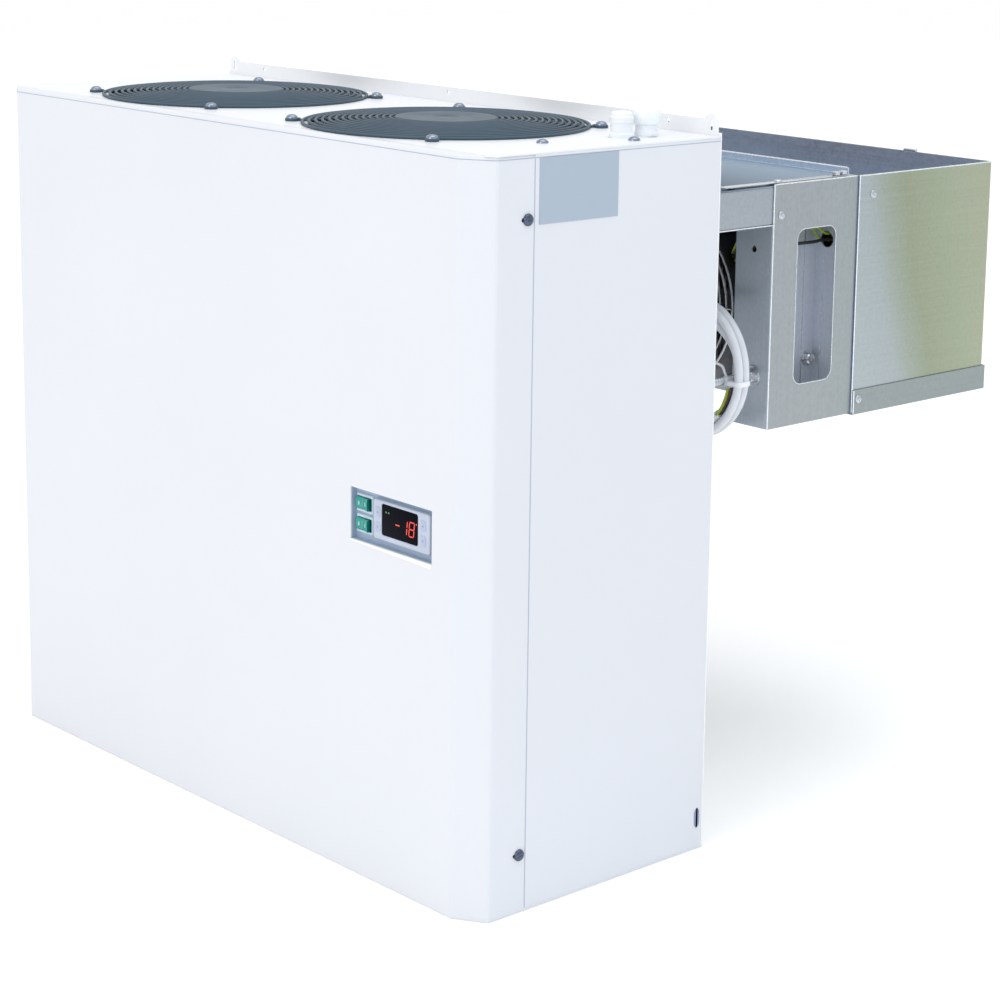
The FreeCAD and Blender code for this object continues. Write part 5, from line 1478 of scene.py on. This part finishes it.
    def rocker(self, index: int, x: float, mid: float) -> None:
        """Rocker: face y(u) = crest - dip (1 - |u|) smoothed at its middle, tipped with its node.

        Args:
            index: the switch's number.
            x: the pivot's place.
            mid: height of the rocker's middle.
        """
        w, half = self.rocker_half
        u = np.linspace(-1, 1, 25)
        fold = np.sqrt(u * u + 0.02)
        front = -self.switch_t - self.dip - (self.rise - self.dip) * fold
        rows = []
        for s in np.linspace(-1, 1, 13):
            crown = 0.35 * s * s + 0.5 * np.clip(abs(s) - 0.85, 0, 1) / 0.15
            side = np.clip(np.abs(u) - 0.93, 0, 1) / 0.07 * 0.35
            across = u * w - self.rocker_off
            rows.append(np.stack([across, front + crown + side, np.full(len(u), mid + s * half)], axis=1))
        back = [np.stack([row[:, 0] * 0.6, np.full(len(u), 3.0), row[:, 2]], axis=1) for row in rows]
        skin = np.stack(rows + back[::-1])
        shape = lattice(skin, wrap_rows=True)
        count = len(u)
        shape.faces += [tuple(range(first, skin.shape[0] * count, count)) for first in (0, count - 1)]
        turn = shape.turned("Z", self.rest_tilt).moved((x, self.recess_y, 0))
        body = f"switch_rocker_{index}_body"
        put(f"rocker_cap_{index}", turn, SWITCH_GREEN, body=body, stands_for=[f"switch_rocker_{index}"])
        ring = circle(1.0, steps=28) * np.array([0.9, 1.45, 1.0])
        zero = tube(upright(ring[:, :2] + np.array([-5.0, mid]), -4.55), 0.24, 6, closed=True, side=(0, 1, 0))
        one = slab(rectangle((4.7, 5.2), (mid - 1.7, mid + 1.7)), -4.62, -4.2, "Y")
        marks = joined([zero, one]).turned("Z", self.rest_tilt).moved((x, self.recess_y, 0))
        put(f"rocker_marks_{index}", marks, MARK_WHITE, body=body)

    def build(self, frame: Frame) -> None:
        """The whole panel.

        Args:
            frame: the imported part.
        """
        frame.folded("control_bezel", BEZEL_PAINT, 0.3)
        self.facia()
        self.segments()
        self.keys()
        self.switches()


# Refrigerant circuit


@dataclass
class Circuit:
    """Compressor set, coils and pipes."""

    fin_gap: float = 4.4
    fin_t: float = 0.35
    header: float = 28.0
    tube_r: float = 4.6
    stub_r: float = 5.0
    pipe_r: float = 4.0
    sleeve_r: float = 7.9
    evap_half: float = 298.0
    evap_z: Point = (384.0, 556.0)
    shell_at: Point = (-150.0, 25.0)
    shell_r: float = 91.5
    shell_h: float = 250.0
    foot_at: Point = (95.0, 72.0)
    vessel_r: float = 42.0
    vessel_h: float = 200.0
    coil_z: float = 530.0

    def fins(self, low: Point, high: Point) -> Shape:
        """Thin plates between two corners, one every fin_gap along X.

        Args:
            low: the block's lower corner.
            high: its upper corner.

        Returns:
            All plates as one shape.
        """
        count = int((high[0] - low[0]) / self.fin_gap)
        xs = np.linspace(low[0] + self.fin_t, high[0] - 2 * self.fin_t, count)
        plate = slab(rectangle((low[1], high[1]), (low[2], high[2])), 0.0, self.fin_t, "X")
        points = (plate.points[None] + np.stack([xs, 0 * xs, 0 * xs], axis=1)[:, None]).reshape(-1, 3)
        size = len(plate.points)
        faces = [tuple(i + k * size for i in face) for k in range(count) for face in plate.faces]
        return Shape(points, faces)

    def bends(self, x: float, centres: Sequence[Point], gap: float, out: float, along: str, turn: int) -> Shape:
        """Return bends: half circles of tube on two stubs.

        Args:
            x: the end plate's face.
            centres: middle of each bend, as (y, z).
            gap: distance between the legs.
            out: length of the stubs.
            along: the axis that the legs lie apart on.
            turn: 1 for bends that stand out along +X, and -1 along -X.

        Returns:
            All the bends.
        """
        t = np.linspace(0, np.pi, 17)
        legs = np.stack([out + gap / 2 * np.sin(t), -gap / 2 * np.cos(t)], axis=1)
        legs = np.concatenate([[[0, -gap / 2]], legs, [[0, gap / 2]]])
        shapes = []
        for y, z in centres:
            path = np.zeros((len(legs), 3))
            path[:, 0] = x + turn * legs[:, 0]
            path[:, 1], path[:, 2] = y, z
            path[:, 1 if along == "Y" else 2] += legs[:, 1]
            shapes.append(tube(path, self.tube_r, 12, side=(0, 0, 1) if along == "Y" else (0, 1, 0)))
        return joined(shapes)

    def stub(self, x: float, y: float, z0: float, z1: float) -> Shape:
        """Short upright tube between two heights."""
        return tube(np.array([(x, y, z0), (x, y, z1)]), self.stub_r, 16, side=(1, 0, 0))

    def straights(self, x0: float, x1: float, rows: Iterable[Point]) -> list[Shape]:
        """Straight tubes along X, one at each (y, z) of the rows."""
        return [tube(np.array([(x0, y, z), (x1, y, z)]), self.tube_r, 10, side=(0, 0, 1)) for y, z in rows]

    def condenser(self) -> None:
        """Fins, tubes, end plates and bends of the coil under the fans."""
        low, high = span("condenser_coil")
        x0 = low[0] + self.header
        fins = self.fins((x0, low[1] + 1, low[2]), (high[0] - 2, high[1] - 1, high[2]))
        side = rectangle((low[1], high[1]), (low[2], high[2]))
        ends = [slab(side, x, x + 2, "X") for x in (x0 - 2, high[0] - 2)]
        shelf = slab(rectangle((low[0], x0), (low[1], high[1])), low[2], low[2] + 2)
        rows = [(y, z) for y in np.linspace(low[1] + 18, high[1] - 18, 8) for z in (low[2] + 15, high[2] - 15)]
        tubes = self.straights(x0 - 3, high[0] - 1, rows)
        put("condenser_fins", joined([fins, *ends, shelf]), FIN_ALUMINIUM, stands_for=["condenser_coil"])
        mid = [(y, z) for y in np.linspace(low[1] + 40, high[1] - 40, 3) for z in (low[2] + 15, high[2] - 15)]
        put("condenser_tubes", joined([*tubes, self.bends(x0 - 2, mid, 28.0, 4.0, "Y", -1)]), COPPER)

    def evaporator(self) -> None:
        """Fins, footed end plates and bends of the coil in the hood."""
        low, high = span("evaporator_coil")
        x = self.evap_half
        y0, y1 = low[1] + 4, high[1] - 4
        fins = self.fins((-x, y0, self.evap_z[0]), (x, y1, self.evap_z[1]))
        ends = [slab(rectangle((low[1], high[1]), (low[2], high[2])), min(s * x, s * (x + 2)),
                     max(s * x, s * (x + 2)), "X") for s in (-1, 1)]
        put("evaporator_fins", joined([fins, *ends]), FIN_ALUMINIUM, stands_for=["evaporator_coil"])
        rows = [(y, z) for z in np.linspace(404, 536, 6) for y in np.linspace(y0 + 16, y1 - 16, 4)]
        tubes = self.straights(-x - 3, x + 3, rows)
        mid = [(y, z) for y in np.linspace(y0 + 16, y1 - 16, 4) for z in (417.2, 470.0, 522.8)]
        put("evaporator_tubes", joined([*tubes, self.bends(x + 2, mid, 26.4, 3.0, "Z", 1)]), COPPER)

    def compressor(self) -> None:
        """Domed shell with its weld band, feet and foot plate."""
        x, base = self.shell_at
        r, h = self.shell_r, self.shell_h
        mid = h * 0.45
        low = [(r - 28 + 28 * math.sin(a), 28 - 28 * math.cos(a)) for a in np.linspace(0, np.pi / 2, 9)]
        dome = [(r - 46 + 46 * math.cos(a), h - 46 + 46 * math.sin(a)) for a in np.linspace(0, np.pi / 2, 12)]
        weld = [(r, mid), (r + 2.4, mid + 1), (r + 2.4, mid + 7), (r, mid + 8)]
        profile = [(0, 0), *low, *weld, *dome, (0, h)]
        shell = turned_piece(profile, 96).moved((x, 0, base))
        plate = slab(rectangle((x - 113, x + 113), (-90, 90), 14.0), base - 3, base, edge=0.5)
        stubs = [self.stub(x + dx, 30, base + h - 30, base + h + 4) for dx in (-45, 45)]
        put("compressor_shell", joined([shell, plate, *stubs]), BLACK_PAINT, stands_for=["compressor"])
        foot = turned_piece([(0, 2), (12.5, 2), (13, 3), (13, 9), (10, 11), (10, 17), (12.6, 19), (12.6, 22),
                             (0, 22)], 32)
        dx, dy = self.foot_at
        feet = [foot.moved((x + sx * dx, sy * dy, 0)) for sx in (-1, 1) for sy in (-1, 1)]
        put("rubber_feet", joined(feet), BLACK_RUBBER, stands_for=["compressor_grommets"])

    def vessels(self) -> None:
        """Liquid receiver and filter drier."""
        x, y, _ = middle("liquid_receiver")
        r, h = self.vessel_r, self.vessel_h
        ends = np.linspace(0, np.pi / 2, 9)
        profile = [(0, -4), (36, -4), (36, 2)]
        profile += [(r - 16 + 16 * math.sin(a), 16 - 14 * math.cos(a)) for a in ends]
        profile += [(r - 16 + 16 * math.cos(a), h - 16 + 16 * math.sin(a)) for a in ends] + [(0, h)]
        vessel = turned_piece(profile, 72).moved((x, y, 6.0))
        stubs = [self.stub(x + dx, y, 196.0, 216.0) for dx in (-20, 20)]
        put("receiver_vessel", joined([vessel, *stubs]), BLACK_PAINT, stands_for=["liquid_receiver"])
        x, y, _ = middle("filter_drier")
        neck = [(0, 0), (4.8, 0), (4.8, 5), (8, 8), (13, 12), (13.8, 15)]
        can = neck + [(r, 100 - z) for r, z in neck[::-1]]
        put("drier_can", turned_piece(can, 48).moved((x, y, span("filter_drier")[0, 2])), COPPER,
            stands_for=["filter_drier"])

    def pipes(self) -> None:
        """Discharge, liquid and insulated suction pipes along the routes of their solids."""
        start, end = (-105.0, 30.0, 279.0), (-195.0, 30.0, 279.0)
        hot = route([start, (-105, 30, 404.5), (-300, 60, 404.5), (-300, 60, self.coil_z)], 24.0)
        put("discharge_tube", tube(hot, self.pipe_r, 14), COPPER, stands_for=["discharge_pipe"])
        over = route([(200, 60, self.coil_z), (200, 60, 306), (80, 55, 306), (80, 55, 216)], 24.0)
        drop = np.array([(40, 55, 216.0), (40, 55, 258.0), (40, 55, 301.6)])
        on = route([(40, 55, 401.6), (40, 55, 472.2), (40, 120, 472.2), (40, 120, 577), (40, 437.5, 577),
                    (40, 437.5, 556)], 12.0)
        put("liquid_tubes", joined([tube(path, self.pipe_r, 14) for path in (over, drop, on)]), COPPER,
            stands_for=["liquid_pipes"])
        back = route([(-20, 437.5, 556), (-20, 437.5, 577), (-20, 120, 577), (-20, 120, 339),
                      (-195, 30, 339), end], 13.0)
        put("suction_sleeve", tube(back, self.sleeve_r, 18), BLACK_RUBBER, stands_for=["suction_pipe"])

    def build(self, frame: Frame) -> None:
        """Everything within the cabinet and the hood.

        Args:
            frame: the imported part.
        """
        self.condenser()
        self.evaporator()
        self.compressor()
        self.vessels()
        self.pipes()
        frame.dress("terminal_cover", BLACK_PLASTIC)
        frame.folded("electrical_box", BLACK_PLASTIC, 0.8)


# Bridge and evaporator case


@dataclass
class EvaporatorCase:
    """Bridge, brackets, hood and tray of bare sheet, with their screws."""

    evap_x: float = 333.0
    hood_x: float = 334.5
    y_flange: float = 242.5
    y_hood: float = 370.5
    y_end: float = 558.5
    y_wall: float = 138.0
    low_z: float = 370.0
    top_z: float = 597.0
    lid_z: float = 559.4
    window_y: Point = (275.5, 328.5)
    window_z: Point = (407.0, 553.0)
    window_r: float = 10.0
    bead: float = 0.6
    lip_half: float = 311.0
    bolt_at: Point = (300.0, 331.0, 421.0)
    plate_z: Point = (372.0, 556.0)
    strip_in: float = 9.0
    fan_at: Point = (155.0, 464.0)
    lead_ring: float = 88.8
    lead_face: float = 339.0
    lead_z: float = 536.0

    def build(self, frame: Frame) -> None:
        """Sheets and screws.

        Args:
            frame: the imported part.
        """
        # The hood, brackets, fan plate and lids carry painted reflection, painted light and painted shade in their
        # finishes.
        for node, finish in (("hood", HOOD_SHEET_PAINTED_REFLECTION), ("evap_bracket_right", BRACKET_SHEET_PAINTED_LIGHT),
                             ("evap_bracket_left", BRACKET_SHEET_PAINTED_LIGHT), ("fan_shroud", PLATE_SHEET_PAINTED_LIGHT),
                             ("bridge_lid", LID_SHEET_PAINTED_SHADE), ("bridge_trough", BRIDGE_SHEET),
                             ("hood_cover", LID_SHEET_PAINTED_SHADE), ("drip_tray", TRAY_SHEET)):
            frame.folded(node, finish)
        frame.dress("bridge_foam", FOAM)
        self.edges()
        self.fixings()
        self.screws()
        self.leads()

    def edges(self) -> None:
        """Rolled edges: thin beads along the bends and cut edges, of a far lighter metal than their sheets: real
        bends with painted highlights.
        """
        window = rectangle(self.window_y, self.window_z, self.window_r, 9)
        rim = np.column_stack([np.full(len(window), self.evap_x), window])
        shapes = [tube(rim, 0.4, 8, closed=True, side=(1, 0, 0))]
        x, hood_x, low, high = self.evap_x, self.hood_x, self.low_z, self.top_z
        flange, hood = self.y_flange, self.y_hood
        runs = [((x - 0.5, flange + 0.5, low), (x - 0.5, flange + 0.5, high)),
                ((x, flange + 1, high - 0.3), (x, self.y_end - 203, high - 0.3)),
                ((hood_x, hood - 12, low), (hood_x, hood - 12, high)),
                ((hood_x, hood - 12, high - 0.3), (hood_x, self.y_end, high - 0.3)),
                ((x - 1, self.y_wall, self.lid_z), (x - 1, flange, self.lid_z)),
                ((hood_x + 1.6, hood - 11, low - 1), (hood_x + 1.6, hood - 11, low + 21))]
        shapes += [tube(np.array(run), self.bead, 8) for run in runs]
        mirror = [Shape(shape.points * np.array([-1.0, 1.0, 1.0]), shape.faces) for shape in shapes]
        lip = tube(np.array([(side * self.lip_half, hood - 3.2, high + 4.4) for side in (-1, 1)]), 0.9, 8)
        put("rolled_edge_highlights", joined([*shapes, *mirror, lip]), SHEET_EDGE_HIGHLIGHT)

    def fixings(self) -> None:
        """Bolts of the fan plate's flanges, lap strips of the lid and their nuts."""
        head = turned_piece([(0, 0), (7.6, 0), (7.6, 1.4), (5.0, 1.6), (5.4, 2.0), (5.4, 5.0), (4.6, 6.2),
                             (0, 6.8)], 30)
        six = slab(flat_circle(4.2, 6), 0.0, 3.4, edge=0.5)
        strip = slab(rectangle((self.y_flange - 60, self.y_hood - 22), (-5.0, 5.0), 2.0), 0.0, 0.8, edge=0.3)
        fold = slab(rectangle((322.0, 323.0), self.plate_z), 0.0, 0.4, "X")
        bolt_x, bolt_y, bolt_z = self.bolt_at
        shapes = []
        for side in (-1, 1):
            x = side * (self.evap_x - self.strip_in)
            edge = sorted((side * 308.6, side * 309.6))
            shapes += [head.turned("Y", 90 * side).moved((side * bolt_x, bolt_y, bolt_z)),
                       strip.turned("Z", 90).moved((x, 0, self.top_z))]
            shapes += [six.moved((x, self.y_hood - back, self.top_z + 0.8)) for back in (34, 24)]
            shapes += [fold.moved((side * bolt_x, 0, 0)),
                       slab(rectangle(edge, (self.plate_z[0], 530.0)), self.lead_face - 0.2,
                            self.lead_face + 0.2, "Y")]
        clip = slab(rectangle((222.0, 238.0), (self.y_end - 3.0, self.y_end + 1.0), 1.0), 596.0, 599.5,
                    edge=0.5)
        put("plate_fixings", joined([*shapes, clip]), ZINC)

    def screws(self) -> None:
        """Button screws on the sides and the top of the evaporator."""
        head = turned_piece([(0, 0)] + [(4.3 * math.cos(a), 2.2 * math.sin(a)) for a in np.linspace(0, 1.2, 7)]
                            + [(1.4, 1.75), (0, 1.2)], 28)
        shapes = []
        spots = ((0.0, self.y_flange + 10, 568.0), (1.5, self.y_hood + 8, 578.0), (3.0, self.y_hood - 4, 382.0))
        for side in (-1, 1):
            shapes += [head.turned("Y", 90 * side).moved((side * (self.evap_x + out), y, z))
                       for out, y, z in spots]
            strip_x = side * (self.evap_x - self.strip_in)
            shapes.append(head.moved((strip_x, self.y_flange + 14, self.top_z + 0.8)))
            shapes.append(head.moved((side * (self.evap_x - 14), self.y_flange - 44, 595.5)))
        put("sheet_screws", joined(shapes), BRIGHT_ZINC)

    def leads(self) -> None:
        """Fan leads to the hole behind the window: a black one low, and two cores that drop to it."""
        face = self.lead_face
        for k, finish in ((-1, CORE_GREEN), (0, BLACK_RUBBER), (1, CORE_GREEN)):
            z = self.lead_z + k * 3.6
            x = self.fan_at[0] + math.sqrt(self.lead_ring ** 2 - (z - 24 - self.fan_at[1]) ** 2)
            start = [(x, face - 38, z - 24), (x + 32, face - 66, z - 8)]
            if k:
                over = [(309 + 3 * k, face - 66, 553), (309 + 3 * k, face - 20, 553),
                        (311 + 3 * k, face - 3, z + 2), (311 + 3 * k, face + 14, z + 2)]
            else:
                over = [(313, face - 66, z), (313, face - 20, z - 1), (313, face + 14, z + 1)]
            put(f"fan_lead_{k + 2}", tube(route(start + over, 7.0), 1.6 - 0.3 * abs(k), 10), finish,
                stands_for=["fan_leads"])


@dataclass
class WallClamps:
    """Threaded rods through the wall with their washers and nuts."""

    x: float = 312.5
    z: float = 417.0
    rod_r: float = 4.0
    bore: float = 3.95
    pitch: float = 1.25
    thread: float = 0.32
    flat: float = 6.5
    corner: Point = (6.6, 7.3)
    stacks: tuple[tuple[float, int], ...] = ((136.0, -1), (137.5, 1), (242.5, -1), (244.0, 1))

    def rod(self, y0: float, y1: float) -> Shape:
        """Threaded rod: radius r - d (1/2 - 1/2 cos(2 pi y / p - a)) at angle a, along Y.

        Args:
            y0: its front end.
            y1: its back end.

        Returns:
            The rod, with its middle on the Y axis.
        """
        ys = np.arange(y0, y1 + 0.1, self.pitch / 6)[:, None]
        a = round_angles(20)[None, :]
        r = self.rod_r - self.thread * (0.5 - 0.5 * np.cos(2 * np.pi * ys / self.pitch - a))
        grid = np.stack([r * np.cos(a), ys + 0 * a, r * np.sin(a)], axis=-1)
        return lattice(grid, wrap_columns=True, capped=True)

    def nut(self, y: float, up: int) -> Shape:
        """Washer and chamfered hexagon nut, stacked from y towards up.

        Args:
            y: the face that the washer lies on.
            up: 1 or -1, the direction along Y.

        Returns:
            The pair.
        """
        washer = turned_piece([(4.3, 0), (9.6, 0), (10, 0.3), (10, 1.3), (9.6, 1.6), (4.3, 1.6), (4.3, 0)], 40)
        a = round_angles(72)[:, None]
        flat = self.flat / np.cos((a + np.pi / 6) % (np.pi / 3) - np.pi / 6)
        eye = np.full_like(a, self.bore)
        end, body = (np.minimum(flat, corner) for corner in self.corner)
        r = np.concatenate([eye, end, body, body, end, eye], axis=1)
        h = np.array([1.6, 1.6, 2.2, 7.5, 8.1, 8.1])
        nut = lattice(np.stack([r * np.cos(a), r * np.sin(a), h + 0 * a], axis=-1), wrap_rows=True,
                      wrap_columns=True)
        return joined([washer, nut]).turned("X", -90 * up).moved((0, y, 0))

    def build(self) -> None:
        """Both rods with four nuts each."""
        low, high = span("clamp_rods")
        parts = []
        for side in (-1, 1):
            at = (side * self.x, 0, self.z)
            parts.append(self.rod(low[1], high[1]).moved(at))
            parts += [self.nut(y, up).moved(at) for y, up in self.stacks]
        put("clamp_hardware", joined(parts), ZINC, stands_for=["clamp_rods"])


def main() -> None:
    """Build the scene in order, with the camera and the cord first."""
    logging.basicConfig(level=logging.INFO, format="%(name)s %(message)s")
    frame = Frame(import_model())
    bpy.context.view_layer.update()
    studio = Studio()
    studio.camera()
    SupplyCord().build()
    Cabinet().build(frame)
    CondenserFans().build()
    ControlPanel().build(frame)
    Circuit().build(frame)
    EvaporatorCase().build(frame)
    EvaporatorFans().build()
    WallClamps().build()
    studio.build()
    bpy.context.view_layer.update()


if __name__ == "__main__":
    main()
